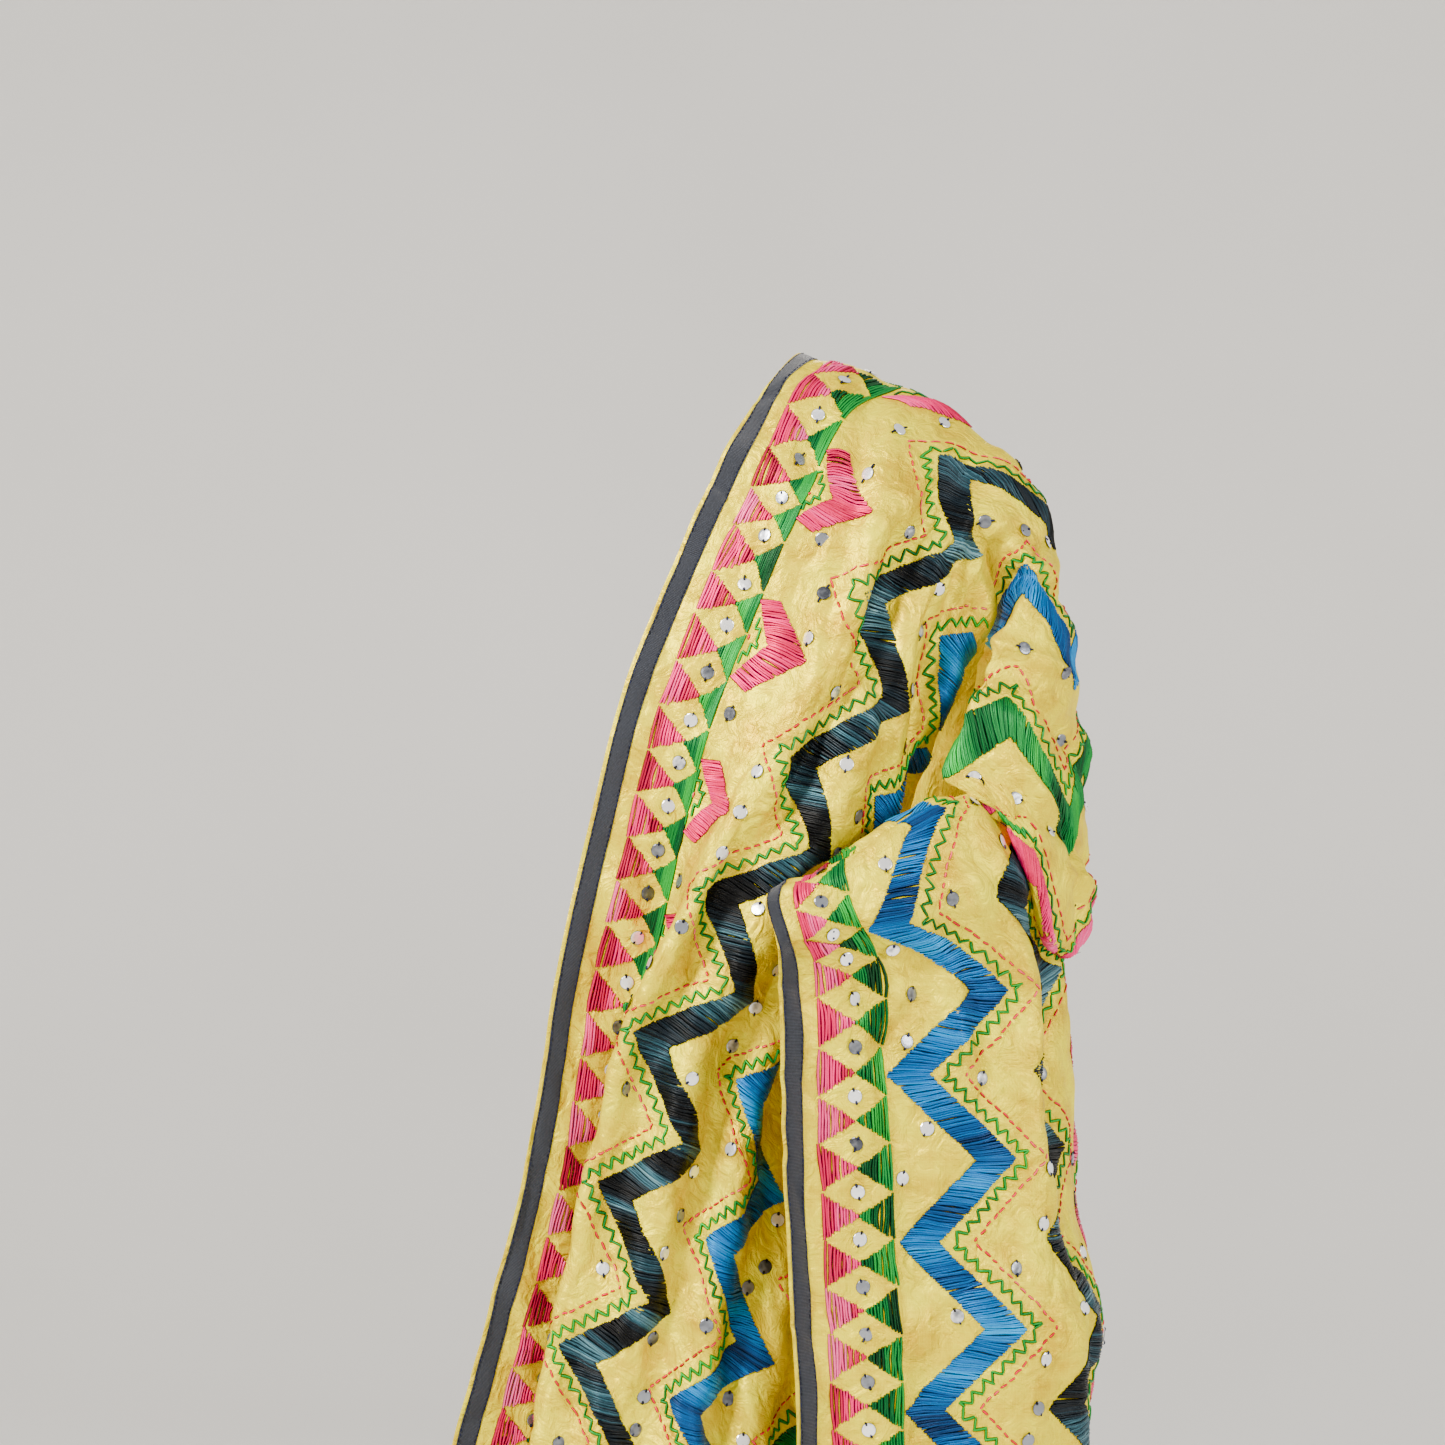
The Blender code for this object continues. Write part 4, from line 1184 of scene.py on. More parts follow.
@dataclass(frozen=True)
class Zigzag:
    """One zigzag across the cloth with what is worked along it."""

    across: float
    shade: Shade
    phase: float  # cloth down to a corner that points to the breast edge
    start: float
    end: float
    period: float = 0.1313
    swing: float = 0.0345
    width: float = 0.0235
    pitch: float = 0.0021
    lean: float = 0.70  # how far the stitches lean from square towards the weft
    turn: float = 0.024  # cloth along the band in which they turn to the weft at a corner
    uneven: float = 0.0003  # how unevenly the stitches end
    overlap: float = 0.3  # how far they pass the band's edge, of uneven
    bunch: float = 0.08  # how unevenly they are spaced, of their pitch
    stray: float = 0.0004  # how far a stitch's slant and its bow stray
    drift: float = 0.0015  # how far a corner strays
    line_stray: float = 0.0005
    line_bow: float = 0.0003

    def corners(self, aside: float, drift: float = 0.0) -> ndarray:
        """The zigzag's corners.

        Args:
            aside: how far across they are moved.
            drift: how far each may stray, as in work done by hand.

        Returns:
            Corners x 2, down and across.
        """
        half = self.period / 2
        number = np.arange(math.floor((self.start - self.phase) / half),
                           math.ceil((self.end - self.phase) / half) + 1)
        across = self.across + aside + self.swing * np.where(number % 2 == 0, -1.0, 1.0)
        strayed = drift * np.stack([np.sin(number * 2.7 + self.across * 40), np.sin(number * 1.9 + 1)], -1)
        return np.stack([self.phase + number * half, across], -1) + strayed

    def darned(self, chance: Generator) -> Stitches:
        """Slanting stitches side by side that fill the band, along the weft at its corners."""
        corners = self.corners(0.0, self.drift)
        starts, ends, along = [], [], []
        reach = self.width / 2
        travelled = 0.0
        for begin, end in zip(corners[:-1], corners[1:]):
            length = float(norm(end - begin))
            ahead = (end - begin) / length
            aside = np.array([-ahead[1], ahead[0]])
            mitre = reach * ahead[1] / ahead[0]
            count = round(length / self.pitch)
            at = (np.arange(count) + 0.5) * length / count
            at = at + chance.normal(0.0, self.pitch * self.bunch, count)
            near_corner = 1.0 - ramp(np.minimum(at, length - at), 0.0, self.turn)
            lean = mitre * (self.lean + (1.0 - self.lean) * near_corner)
            lean = lean + chance.normal(0.0, self.stray, at.shape)
            over = chance.normal(self.uneven * self.overlap, self.uneven, (2, len(at)))
            starts.append(begin + ahead * (at + lean)[:, None] + aside * (reach + over[0])[:, None])
            ends.append(begin + ahead * (at - lean)[:, None] - aside * (reach + over[1])[:, None])
            along.append(travelled + at)
            travelled += length
        start, end = np.concatenate(starts), np.concatenate(ends)
        bow = chance.normal(0.0, self.stray, len(start))
        return Stitches(spread(start, end, bow), self.shade.value.along(np.concatenate(along), chance))

    def line(self, line: Line, floss: Floss, chance: Generator) -> Stitches:
        """A line of single stitches along the zigzag.

        Args:
            line: where it runs and how it is stitched.
            floss: what it is sewn with.
            chance: the source of unevenness.

        Returns:
            The stitches.
        """
        corners = self.corners(line.aside, self.drift)
        run = run_of(corners)
        heading = np.diff(corners, axis=0) / np.diff(run)[:, None]
        at = np.arange(0.0, run[-1] - line.step, line.step + line.skip)
        ends = []
        for k, here in enumerate((at, at + line.step)):
            spot = read_line(here, run, corners)
            ahead = heading[np.clip(np.searchsorted(run, here) - 1, 0, len(heading) - 1)]
            side = line.wave / 2 * np.where((np.arange(len(at)) + k) % 2 == 0, 1.0, -1.0)
            square = np.stack([-ahead[:, 1], ahead[:, 0]], -1)
            ends.append(spot + square * side[:, None] + chance.normal(0.0, self.line_stray, spot.shape))
        bow = chance.normal(0.0, self.line_bow, len(at))
        return Stitches(spread(ends[0], ends[1], bow), floss.along(at, chance))


@dataclass(frozen=True)
class TriangleBorder:
    """Facing rows of darned triangles inside the tape, point to point, in two tones each."""

    edge: float  # cloth across at the edge
    inward: float  # 1 where the cloth lies at a greater across, or -1
    start: float
    end: float
    phase: float
    outer_base: float = 0.0315
    tip: float = 0.0600
    inner_base: float = 0.0885
    pitch: float = 0.0372
    half: float = 0.0181
    rows: int = 12
    first: float = 0.35  # share of a row between the base and the first stitch
    stray: float = 0.0006  # how far a triangle and a stitch's bow stray
    past: Pair = (0.0004, 0.0005)  # how far stitches pass the sides, how unevenly
    tilts: Pair = (0.03, 0.025)  # how far a triangle and each stitch in it tilt
    wobble: float = 0.0002
    changes: Pair = (0.25, 0.75)  # shares of a triangle between which its tone changes
    contrast: float = 0.55  # between its two tones
    uneven: float = 0.05

    def centres(self) -> ndarray:
        """Where the triangles' points are along the edge."""
        first = math.ceil((self.start - self.phase) / self.pitch)
        last = math.floor((self.end - self.phase) / self.pitch)
        return self.phase + np.arange(first, last + 1) * self.pitch

    def darned(self, base: float, floss: Floss, chance: Generator) -> Stitches:
        """One row of triangles, sewn along the edge.

        Args:
            base: how far from the edge their bases lie.
            floss: what they are sewn with.
            chance: the source of unevenness.

        Returns:
            The stitches.
        """
        share = (np.arange(self.rows) + self.first) / self.rows
        centres = self.centres()[:, None]
        centres = centres + chance.normal(0.0, self.stray, centres.shape)
        size = (len(centres), self.rows)
        half = self.half * (1.0 - share)[None, :] + chance.normal(*self.past, size)
        across = base + (self.tip - base) * share
        tilt = chance.normal(0.0, self.tilts[0], (len(centres), 1)) + chance.normal(0, self.tilts[1], size)
        wobble = chance.normal(0.0, self.wobble, size)
        ends = [np.stack([centres + side * half,
                          self.edge + self.inward * (across[None] + wobble + side * tilt * half)], -1)
                for side in (-1.0, 1.0)]
        change = chance.uniform(*self.changes, (len(centres), 1))
        pair = chance.uniform(0.0, 1.0, (len(centres), 2))
        pair[:, 1] = (pair[:, 0] + self.contrast) % 1.0
        tone = np.where(share[None, :] < change, pair[:, :1], pair[:, 1:])
        tone = tone + chance.normal(0.0, self.uneven, tone.shape)
        bow = chance.normal(0.0, self.stray, half.size)
        flat = [end.reshape(-1, 2) for end in ends]
        return Stitches(spread(flat[0], flat[1], bow), graded(floss.tones, tone.ravel()))

    def mirrors(self) -> ndarray:
        """A mirror in each diamond of plain ground between the triangles."""
        centres = self.centres() + self.pitch / 2
        return np.stack([centres, np.full(len(centres), self.edge + self.inward * self.tip)], -1)


class Pull(NamedTuple):
    """A place where the stitching draws the cloth: how far, and where it sets in and is full."""

    by: float
    across: Pair
    down: Pair


BREAST_PULL = Pull(0.028, (0.05, 0.13), (0.02, 0.12))
FALL_PULL = Pull(0.022, (0.22, 0.34), (0.13, 0.22))
ELBOW_PULL = Pull(0.012, (0.53, 0.60), (0.15, 0.25))
SLEEVE_PULL = Pull(0.050, (0.28, 0.46), (0.14, 0.26))
SLEEVE_BACK, SLEEVE_END = (-0.26, -0.06), (0.62, 0.70)  # where the pulls round the arm fade


@dataclass
class Worn:
    """The stretches of one run of cloth, and where flat places lie once it is worn."""

    stretches: Sequence[Stretch]
    give: float = 2.2  # how much longer than flat a stitch may be where it is worn
    slack: float = 0.002

    @staticmethod
    def drawn(down: ndarray, across: ndarray) -> tuple[ndarray, ndarray]:
        """Where the pattern lies in the cloth: the stitching draws it towards the breast edge."""
        breast, fall = (pull.by * ramp(across, *pull.across) * ramp(down, *pull.down)
                        for pull in (BREAST_PULL, FALL_PULL))
        pull = ELBOW_PULL
        elbow = pull.by * ramp(across, *pull.across) * (1 - ramp(np.abs(down), *pull.down))
        pull = SLEEVE_PULL
        turned = pull.by * ramp(across, *pull.across) * (1 - ramp(down, *pull.down))
        turned = turned * ramp(down, *SLEEVE_BACK)
        left = 1 - ramp(across, *SLEEVE_END)
        return down + turned * left, across - breast - fall - elbow * left

    def homes(self, home: ndarray) -> Iterator[tuple[Stretch, ndarray]]:
        """Each stretch that is the home of some stitches, with the mask of those stitches."""
        for k, stretch in enumerate(self.stretches):
            if (home == k).any():
                yield stretch, home == k

    def lay(self, places: ndarray, shift: bool = True) -> tuple[ndarray, ndarray, ndarray]:
        """Finds flat places on the worn cloth.

        Args:
            places: stitches x points x 2, down and across.
            shift: whether the pattern's own drift is applied.

        Returns:
            Places and facings as the viewer sees them, and each stitch's home among the
            stretches, below zero where it lies on none.
        """
        down, across = places[..., 0], places[..., 1]
        if shift:
            down, across = self.drawn(down, across)
        count, points = down.shape
        middle = points // 2
        found = [stretch.locate(down.ravel(), across.ravel()) for stretch in self.stretches]
        valid = [~np.isnan(row + column).reshape(count, points) for row, column in found]
        home = np.full(count, -1)
        for k in reversed(range(len(self.stretches))):
            home[valid[k][:, middle]] = k
        spots = np.full((count, points, 3), np.nan)
        facings = np.zeros((count, points, 3))
        for own in (False, True):
            for k, stretch in enumerate(self.stretches):
                pick = valid[k] & ((home == k)[:, None] == own) & (own | np.isnan(spots[..., 0]))
                row, column = (part.reshape(count, points)[pick] for part in found[k])
                spots[pick] = stretch.read(stretch.points, row, column)
                facings[pick] = stretch.read(stretch.facing, row, column)
        flat = np.hypot(np.diff(down, axis=1), np.diff(across, axis=1))
        real = norm(np.diff(spots, axis=1), axis=2)
        whole = ~np.isnan(spots).any(axis=(1, 2))
        whole &= (real < flat * self.give + self.slack).all(axis=1)
        home[~whole] = -1
        return spots, facings / np.maximum(norm(facings, axis=2, keepdims=True), 1e-9), home


def new_object(name: str, data: ID) -> Object:
    """Links a new object that holds a mesh, a light or a camera."""
    obj = bpy.data.objects.new(name, data)
    bpy.context.collection.objects.link(obj)
    return obj


def put(mesh: Mesh, name: str, kind: str, values: ndarray) -> None:
    """Stores values on a mesh's points under a name."""
    attribute = mesh.attributes.new(name, kind, "POINT")
    field_name = {"FLOAT_VECTOR": "vector", "FLOAT_COLOR": "color", "FLOAT": "value"}[kind]
    attribute.data.foreach_set(field_name, np.asarray(values, np.float32).ravel())


def applied(obj: Object) -> Object:
    """Applies an object's modifiers to its mesh and removes them."""
    graph = bpy.context.evaluated_depsgraph_get()
    made = bpy.data.meshes.new_from_object(obj.evaluated_get(graph), preserve_all_data_layers=True,
                                           depsgraph=graph)
    obj.modifiers.clear()
    old, obj.data = obj.data, made
    made.name = obj.name
    bpy.data.meshes.remove(old)
    return obj


def sheet_mesh(name: str, points: ndarray, cloth: ndarray, outward: float) -> Mesh:
    """A mesh of quads through a grid of places, with the cloth coordinates on its points.

    Args:
        name: the mesh's name.
        points: rows x columns x 3, as the viewer sees them.
        cloth: rows x columns x 2, down and across.
        outward: the stretch's face.

    Returns:
        The mesh, which faces out of the garment.
    """
    rows, columns = points.shape[:2]
    index = np.arange(rows * columns).reshape(rows, columns)
    corners = [index[:-1, :-1], index[1:, :-1], index[1:, 1:], index[:-1, 1:]]
    if outward < 0:
        corners = corners[::-1]
    quads = np.stack(corners, -1).reshape(-1, 4)
    mesh = bpy.data.meshes.new(name)
    mesh.from_pydata(place(points).reshape(-1, 3).tolist(), [], quads.tolist())
    put(mesh, "cloth", "FLOAT_VECTOR", np.concatenate([cloth, np.zeros((rows, columns, 1))], -1))
    mesh.shade_smooth()
    return mesh


def shelled(mesh: Mesh, material: Material, thickness: float,
            turned: ndarray | None = None, hem: float = 0.0) -> Object:
    """Gives a sheet its thickness and its material.

    Args:
        mesh: the sheet, whose name the object gets.
        material: what it is made of.
        thickness: how thick it is.
        turned: the numbers of the points that are turned up as a hem, where it has one.
        hem: how thick it is there.

    Returns:
        The new object.
    """
    obj = new_object(mesh.name, mesh)
    shell = obj.modifiers.new("shell", "SOLIDIFY")
    shell.thickness, shell.offset = thickness, 0.0
    if turned is not None:
        group = obj.vertex_groups.new(name="hem")
        group.add(turned.tolist(), 1.0, "REPLACE")
        shell.vertex_group, shell.thickness = group.name, hem
        shell.thickness_vertex_group = thickness / hem
    applied(obj)
    obj.data.set_sharp_from_angle(angle=SHARP)
    obj.data.materials.clear()
    obj.data.materials.append(material)
    return obj


def ringed(rings: int, count: int) -> list[tuple[int, ...]]:
    """Quads between rings of count points each, as the points' numbers."""
    return [(k * count + i, k * count + (i + 1) % count,
             (k + 1) * count + (i + 1) % count, (k + 1) * count + i)
            for k in range(rings - 1) for i in range(count)]


class Geometry:
    """A geometry node tree with a Geometry input and output."""

    def __init__(self, name: str) -> None:
        """Makes the tree."""
        self.tree = bpy.data.node_groups.new(name, "GeometryNodeTree")
        for way in ("INPUT", "OUTPUT"):
            self.tree.interface.new_socket("Geometry", in_out=way, socket_type="NodeSocketGeometry")
        self.start = add_node(self.tree, "NodeGroupInput")
        self.end = add_node(self.tree, "NodeGroupOutput")
        self.given: dict[str, object] = {}

    def input(self, name: str, kind: str, value: object) -> NodeSocket:
        """Adds a named input, which the modifier sets to the value."""
        item = self.tree.interface.new_socket(name, in_out="INPUT", socket_type=kind)
        self.given[item.identifier] = value
        return self.start.outputs[name]

    def node(self, kind: str, values: dict | None = None, **settings) -> Node:
        """Adds a geometry node."""
        return add_node(self.tree, kind, values, **settings)

    def named(self, name: str, kind: str) -> Node:
        """Reads a named attribute."""
        return self.node("GeometryNodeInputNamedAttribute", {"Name": name}, data_type=kind)

    def finish(self, geometry: Node, material: NodeSocket) -> None:
        """Ends the tree with its instances realised and the material set."""
        real = self.node("GeometryNodeRealizeInstances", {"Geometry": geometry})
        done = self.node("GeometryNodeSetMaterial", {"Geometry": real, "Material": material})
        fill(self.tree, self.end, {0: done})

    def apply(self, obj: Object) -> Object:
        """Runs the tree on an object and keeps the result as its mesh."""
        modifier = obj.modifiers.new(self.tree.name, "NODES")
        modifier.node_group = self.tree
        for identifier, value in self.given.items():
            modifier[identifier] = value
        return applied(obj)


# Each kind of stitch: its thread's width and height, and its lift off the cloth, midway and at its ends
THREADS = {
    "darned_bands": (0.0030, 0.0013, 0.00150, 0.00095),
    "darned_triangles": (0.0030, 0.0014, 0.00100, 0.00085),
    "green_lines": (0.0027, 0.0014, 0.0010, 0.0008),
    "rose_lines": (0.0021, 0.0011, 0.0010, 0.0005),
    "hem_stitches": (0.0012, 0.0008, 0.0013, 0.0009),
    "mirror_ties": (0.0020, 0.0010, 0.0020, 0.0014),
    "tape_stitches": (0.0009, 0.0005, 0.0014, 0.0011),
}


@dataclass
class Thread:
    """How a stitch's thread is made: a low soft ridge that lies on the cloth."""

    material: Material
    width: float
    height: float
    lift: float  # how far above the cloth's middle a stitch lies
    dip: float  # the same at its ends
    sides: int = 3
    profile: Pair = (0.577, 0.667)  # a three-sided profile's size, of width and height
    uneven: float = 0.00006
    girths: Pair = (0.85, 1.12)
    ends: float = 0.80  # how much thinner a stitch is where it enters the cloth

    def tree(self) -> Geometry:
        """The node tree that turns loose edges into threads."""
        work = Geometry("stitches")
        width = work.input("Thread Width", "NodeSocketFloat", self.width)
        height = work.input("Thread Height", "NodeSocketFloat", self.height)
        material = work.input("Material", "NodeSocketMaterial", self.material)
        curve = work.node("GeometryNodeMeshToCurve", {"Mesh": work.start})
        laid = work.node("GeometryNodeSetCurveNormal", {
            "Curve": curve, "Normal": work.named("lie", "FLOAT_VECTOR")}, mode="FREE")
        circle = work.node("GeometryNodeCurvePrimitiveCircle", {"Resolution": self.sides, "Radius": 1.0})
        wide = work.node("ShaderNodeMath", {0: width, 1: self.profile[0]}, operation="MULTIPLY")
        tall = work.node("ShaderNodeMath", {0: height, 1: self.profile[1]}, operation="MULTIPLY")
        size = work.node("ShaderNodeCombineXYZ", {"X": tall, "Y": wide, "Z": 1.0})
        profile = work.node("GeometryNodeTransform", {"Geometry": circle, "Scale": size})
        thread = work.node("GeometryNodeCurveToMesh", {
            "Curve": laid, "Profile Curve": profile, "Fill Caps": True,
            "Scale": work.named("girth", "FLOAT")})
        smooth = work.node("GeometryNodeSetShadeSmooth", {"Geometry": thread})
        work.finish(smooth, material)
        return work

    def sew(self, name: str, spots: ndarray, facings: ndarray, tints: ndarray) -> Object:
        """Sews stitches on the worn cloth.

        Args:
            name: the new object's name.
            spots: stitches x points x 3, as the viewer sees them.
            facings: the way the cloth faces there.
            tints: a colour for each stitch.

        Returns:
            The object.
        """
        count, points = spots.shape[:2]
        rise = self.dip + (self.lift - self.dip) * np.sin(pi * np.linspace(0.0, 1.0, points)) ** 0.5
        chance = default_rng(SEED + count)
        height = rise[None, :, None] + chance.normal(0.0, self.uneven, (count, 1, 1))
        places = place(spots + facings * height).reshape(-1, 3)
        index = np.arange(count * points).reshape(count, points)
        edges = np.stack([index[:, :-1], index[:, 1:]], -1).reshape(-1, 2)
        mesh = bpy.data.meshes.new(name)
        mesh.from_pydata(places.tolist(), edges.tolist(), [])
        put(mesh, "lie", "FLOAT_VECTOR", place(facings).reshape(-1, 3))
        girth = np.ones((count, points)) * chance.uniform(*self.girths, (count, 1))
        girth[:, [0, -1]] *= self.ends
        put(mesh, "girth", "FLOAT", girth)
        tint = np.concatenate([np.repeat(tints[:, None], points, 1), np.ones((count, points, 1))], -1)
        put(mesh, "tint", "FLOAT_COLOR", tint)
        return self.tree().apply(new_object(name, mesh))


@dataclass
class Mirrors:
    """Small round mirrors, each held by two dark ties over its rim."""

    material: Material
    diameter: float = 0.0115
    dome: float = 0.0006
    sides: int = 14
    lift: float = 0.0010
    tie: float = 0.0036
    rings: tuple = ((1.0, 0.0), (0.88, 0.65), (0.62, 0.9))  # radius and height of the dome's rings
    tilt: float = 0.07
    tie_turn: float = 0.5
    tie_out: float = 0.60  # the share of a tie's length outside the rim
    tie_in: float = 0.30

    def disc(self) -> Object:
        """The disc that is set at each place: a low dome with a bevelled rim."""
        radius, count, last = self.diameter / 2, self.sides, (len(self.rings) - 1) * self.sides
        turns = np.arange(count) * 2 * pi / count
        rings = [(radius * wide, self.dome * high) for wide, high in self.rings]
        points = [(r * cos(t), r * sin(t), z) for r, z in rings for t in turns]
        points.append((0.0, 0.0, self.dome))
        faces = ringed(len(rings), count)
        faces += [(last + i, last + (i + 1) % count, last + count) for i in range(count)]
        faces.append(tuple(reversed(range(count))))
        mesh = bpy.data.meshes.new("mirror_disc")
        mesh.from_pydata(points, [], faces)
        # Marks the outer ring, which the glass paints dark as a painted shadow round the rim
        put(mesh, "rim", "FLOAT", np.arange(len(points)) < count)
        return new_object("mirror_disc", mesh)

    def set_on(self, name: str, spots: ndarray, facings: ndarray) -> Object:
        """Sets a mirror at each spot of the worn cloth.

        Args:
            name: the new object's name.
            spots: mirrors x 3, as the viewer sees them.
            facings: the way the cloth faces there.

        Returns:
            The object.
        """
        chance = default_rng(SEED + len(spots))
        mesh = bpy.data.meshes.new(name)
        mesh.from_pydata(place(spots + facings * self.lift).tolist(), [], [])
        tilted = facings + chance.normal(0.0, self.tilt, facings.shape)
        put(mesh, "lie", "FLOAT_VECTOR", place(tilted))
        # Each mirror's tone: how pale the glass paints its face, a painted reflection
        put(mesh, "tone", "FLOAT", chance.uniform(0.0, 1.0, len(spots)))
        disc = self.disc()
        work = Geometry("mirrors")
        piece = work.input("Disc", "NodeSocketObject", disc)
        material = work.input("Material", "NodeSocketMaterial", self.material)
        info = work.node("GeometryNodeObjectInfo", {"Object": piece})
        points = work.node("GeometryNodeMeshToPoints", {"Mesh": work.start})
        turned = work.node("FunctionNodeAlignRotationToVector", {
            "Vector": work.named("lie", "FLOAT_VECTOR")}, axis="Z")
        laid = work.node("GeometryNodeInstanceOnPoints", {
            "Points": points, "Instance": info.outputs["Geometry"], "Rotation": turned})
        work.finish(laid, material)
        obj = work.apply(new_object(name, mesh))
        bpy.data.objects.remove(disc)
        return obj

    def ties(self, places: ndarray) -> Stitches:
        """Two short stitches over opposite rims of each mirror."""
        chance = default_rng(SEED + 5)
        turn = chance.uniform(-self.tie_turn, self.tie_turn, len(places))
        ahead = np.stack([np.cos(turn), np.sin(turn)], -1)
        starts, ends = [], []
        for side in (-1.0, 1.0):
            rim = places + ahead * side * self.diameter / 2
            starts.append(rim - ahead * side * self.tie * self.tie_out)
            ends.append(rim + ahead * side * self.tie * self.tie_in)
        return straight(np.concatenate(starts), np.concatenate(ends), Shade.SOOT, chance)


@dataclass(frozen=True)
class Run:
    """A run of cloth in one piece of the pattern, with its own place along the zigzag."""

    names: tuple[str, ...]
    edge: float
    inward: float
    phase: float
    triangle_phase: float
    start: float
    end: float


FRONT_RUN = Run(("front_fall", "shoulder_yoke", "arm_sleeve", "back_fall"), edge=0.0, inward=1.0,
                phase=0.065, triangle_phase=0.0186, start=-1.2, end=1.2)
FOREARM_RUN = Run(("forearm_fall", "forearm_wrap"), edge=CLOTH_WIDTH, inward=-1.0,
                  phase=0.0065, triangle_phase=0.0, start=-0.73, end=0.11)
ZIGZAGS = ((0.105, Shade.PINK), (0.228, Shade.SLATE), (0.351, Shade.BLUE), (0.474, Shade.GREEN),
           (0.597, Shade.PINK), (0.720, Shade.SLATE), (0.843, Shade.BLUE))
Piece = tuple[str, str, Object]  # its kind, its stretch's name and its object


@dataclass
class Embroidery:
    """All that is sewn on one run of the cloth."""

    run: Run
    worn: Worn
    floss: Material
    glass: Material
    clear: float = 0.0895  # from a long edge to where the zigzags stop
    mirror_gap: float = 0.0525
    mirror_first: float = 0.01
    mirror_stray: float = 0.004
    mirror_middle: float = 0.0475  # from a band to the middle of the mirrors beside it
    mirror_aside: float = 0.017
    mirror_clear: float = 0.006  # from where the zigzags stop to a mirror
    mirror_end: float = 0.09  # from the wrist edge to the last mirrors
    hem: float = 0.0085
    hem_start: float = 0.002
    hem_pitch: float = 0.0052
    hem_stitch: float = 0.0034
    hem_stray: float = 0.0002

    def chance(self, more: int) -> Generator:
        """A source of chance of this run's own."""
        return default_rng(SEED * 100 + len(self.run.names) * 10 + more)

    def inside(self, stitches: Stitches) -> Stitches:
        """Those that keep clear of the triangle border and its tape."""
        from_edge = np.abs(stitches.places[..., 1] - self.run.edge)
        return stitches.kept((from_edge > self.clear).all(axis=1))

    def zigzags(self) -> list[Zigzag]:
        """The zigzags of this run."""
        return [Zigzag(across, shade, self.run.phase, self.run.start, self.run.end)
                for across, shade in ZIGZAGS]

    def bands(self) -> Stitches:
        """The wide darned zigzags."""
        return self.inside(Stitches.joined([zigzag.darned(self.chance(k))
                                            for k, zigzag in enumerate(self.zigzags())]))

    def border(self) -> TriangleBorder:
        """The triangle border of this run's long edge."""
        run = self.run
        return TriangleBorder(run.edge, run.inward, run.start, run.end, run.triangle_phase)

    def triangles(self) -> Stitches:
        """The triangle border's two rows."""
        border = self.border()
        return Stitches.joined([border.darned(border.outer_base, Shade.PINK.value, self.chance(20)),
                                border.darned(border.inner_base, Shade.GREEN.value, self.chance(21))])

    def lines(self, line: Line, shade: Shade, first: int) -> Stitches:
        """The lines of single stitches beside the bands; first numbers their sources of chance."""
        return self.inside(Stitches.joined([zigzag.line(line, shade.value, self.chance(first + k))
                                            for k, zigzag in enumerate(self.zigzags())]))

    def hems(self) -> Stitches:
        """The small stitches that hold the hems up."""
        chance = self.chance(60)
        rows = []
        for stretch in filter(Stretch.hemmed, self.worn.stretches):
            last = float(stretch.down.flat[np.abs(stretch.down).argmax()])
            down = last - math.copysign(self.hem, last)
            at = np.arange(float(stretch.across.min()) + self.hem_start, float(stretch.across.max()),
                           self.hem_pitch)
            start = np.stack([down + chance.normal(0.0, self.hem_stray, at.shape), at], -1)
            end = start + np.array([0.0, self.hem_stitch])
            rows.append(straight(start, end, Shade.STRAW, chance))
        return Stitches.joined(rows)

    def mirror_places(self) -> ndarray:
        """Where the mirrors lie: to and fro between the bands, and in the border's diamonds."""
        chance = self.chance(50)
        spots = [self.border().mirrors()]
        for zigzag in self.zigzags():
            corners = zigzag.corners(0.0)
            run = run_of(corners)
            at = np.arange(self.mirror_first, run[-1], self.mirror_gap)
            at = at + chance.normal(0.0, self.mirror_stray, at.shape)
            spot = read_line(at, run, corners)
            aside = self.mirror_aside * np.where(np.arange(len(at)) % 2 == 0, 1.0, -1.0)
            spot[:, 1] += self.mirror_middle + aside
            far = np.abs(spot[:, 1] - self.run.edge) > self.clear + self.mirror_clear
            spots.append(spot[far & (spot[:, 1] < CLOTH_WIDTH - self.mirror_end)])
        return np.concatenate(spots)

    def sewn(self, kind: str, stitches: Stitches, shift: bool = True) -> list[Piece]:
        """Sews a set of stitches, one piece for each stretch.

        Args:
            kind: what the pieces are called, before the stretch's name.
            stitches: the stitches on the flat cloth.
            shift: whether they keep the pattern's own drift.

        Returns:
            The pieces.
        """
        spots, facings, home = self.worn.lay(stitches.places, shift)
        thread = Thread(self.floss, *THREADS[kind])
        return [(kind, stretch.name, thread.sew(f"{kind}_{stretch.name}", spots[mine], facings[mine],
                                                stitches.tints[mine]))
                for stretch, mine in self.worn.homes(home)]

    def make(self) -> list[Piece]:
        """Sews everything on this run."""
        made = self.sewn("darned_bands", self.bands())
        made += self.sewn("darned_triangles", self.triangles())
        made += self.sewn("green_lines", self.lines(GREEN_LINE, Shade.LEAF, 30))
        made += self.sewn("rose_lines", self.lines(ROSE_LINE, Shade.ROSE, 40))
        made += self.sewn("hem_stitches", self.hems(), shift=False)
        places = self.mirror_places()
        spots, facings, home = self.worn.lay(places[:, None])
        mirrors = Mirrors(self.glass)
        for stretch, mine in self.worn.homes(home):
            obj = mirrors.set_on(f"mirrors_{stretch.name}", spots[mine, 0], facings[mine, 0])
            made.append(("mirrors", stretch.name, obj))
        return made + self.sewn("mirror_ties", mirrors.ties(places))


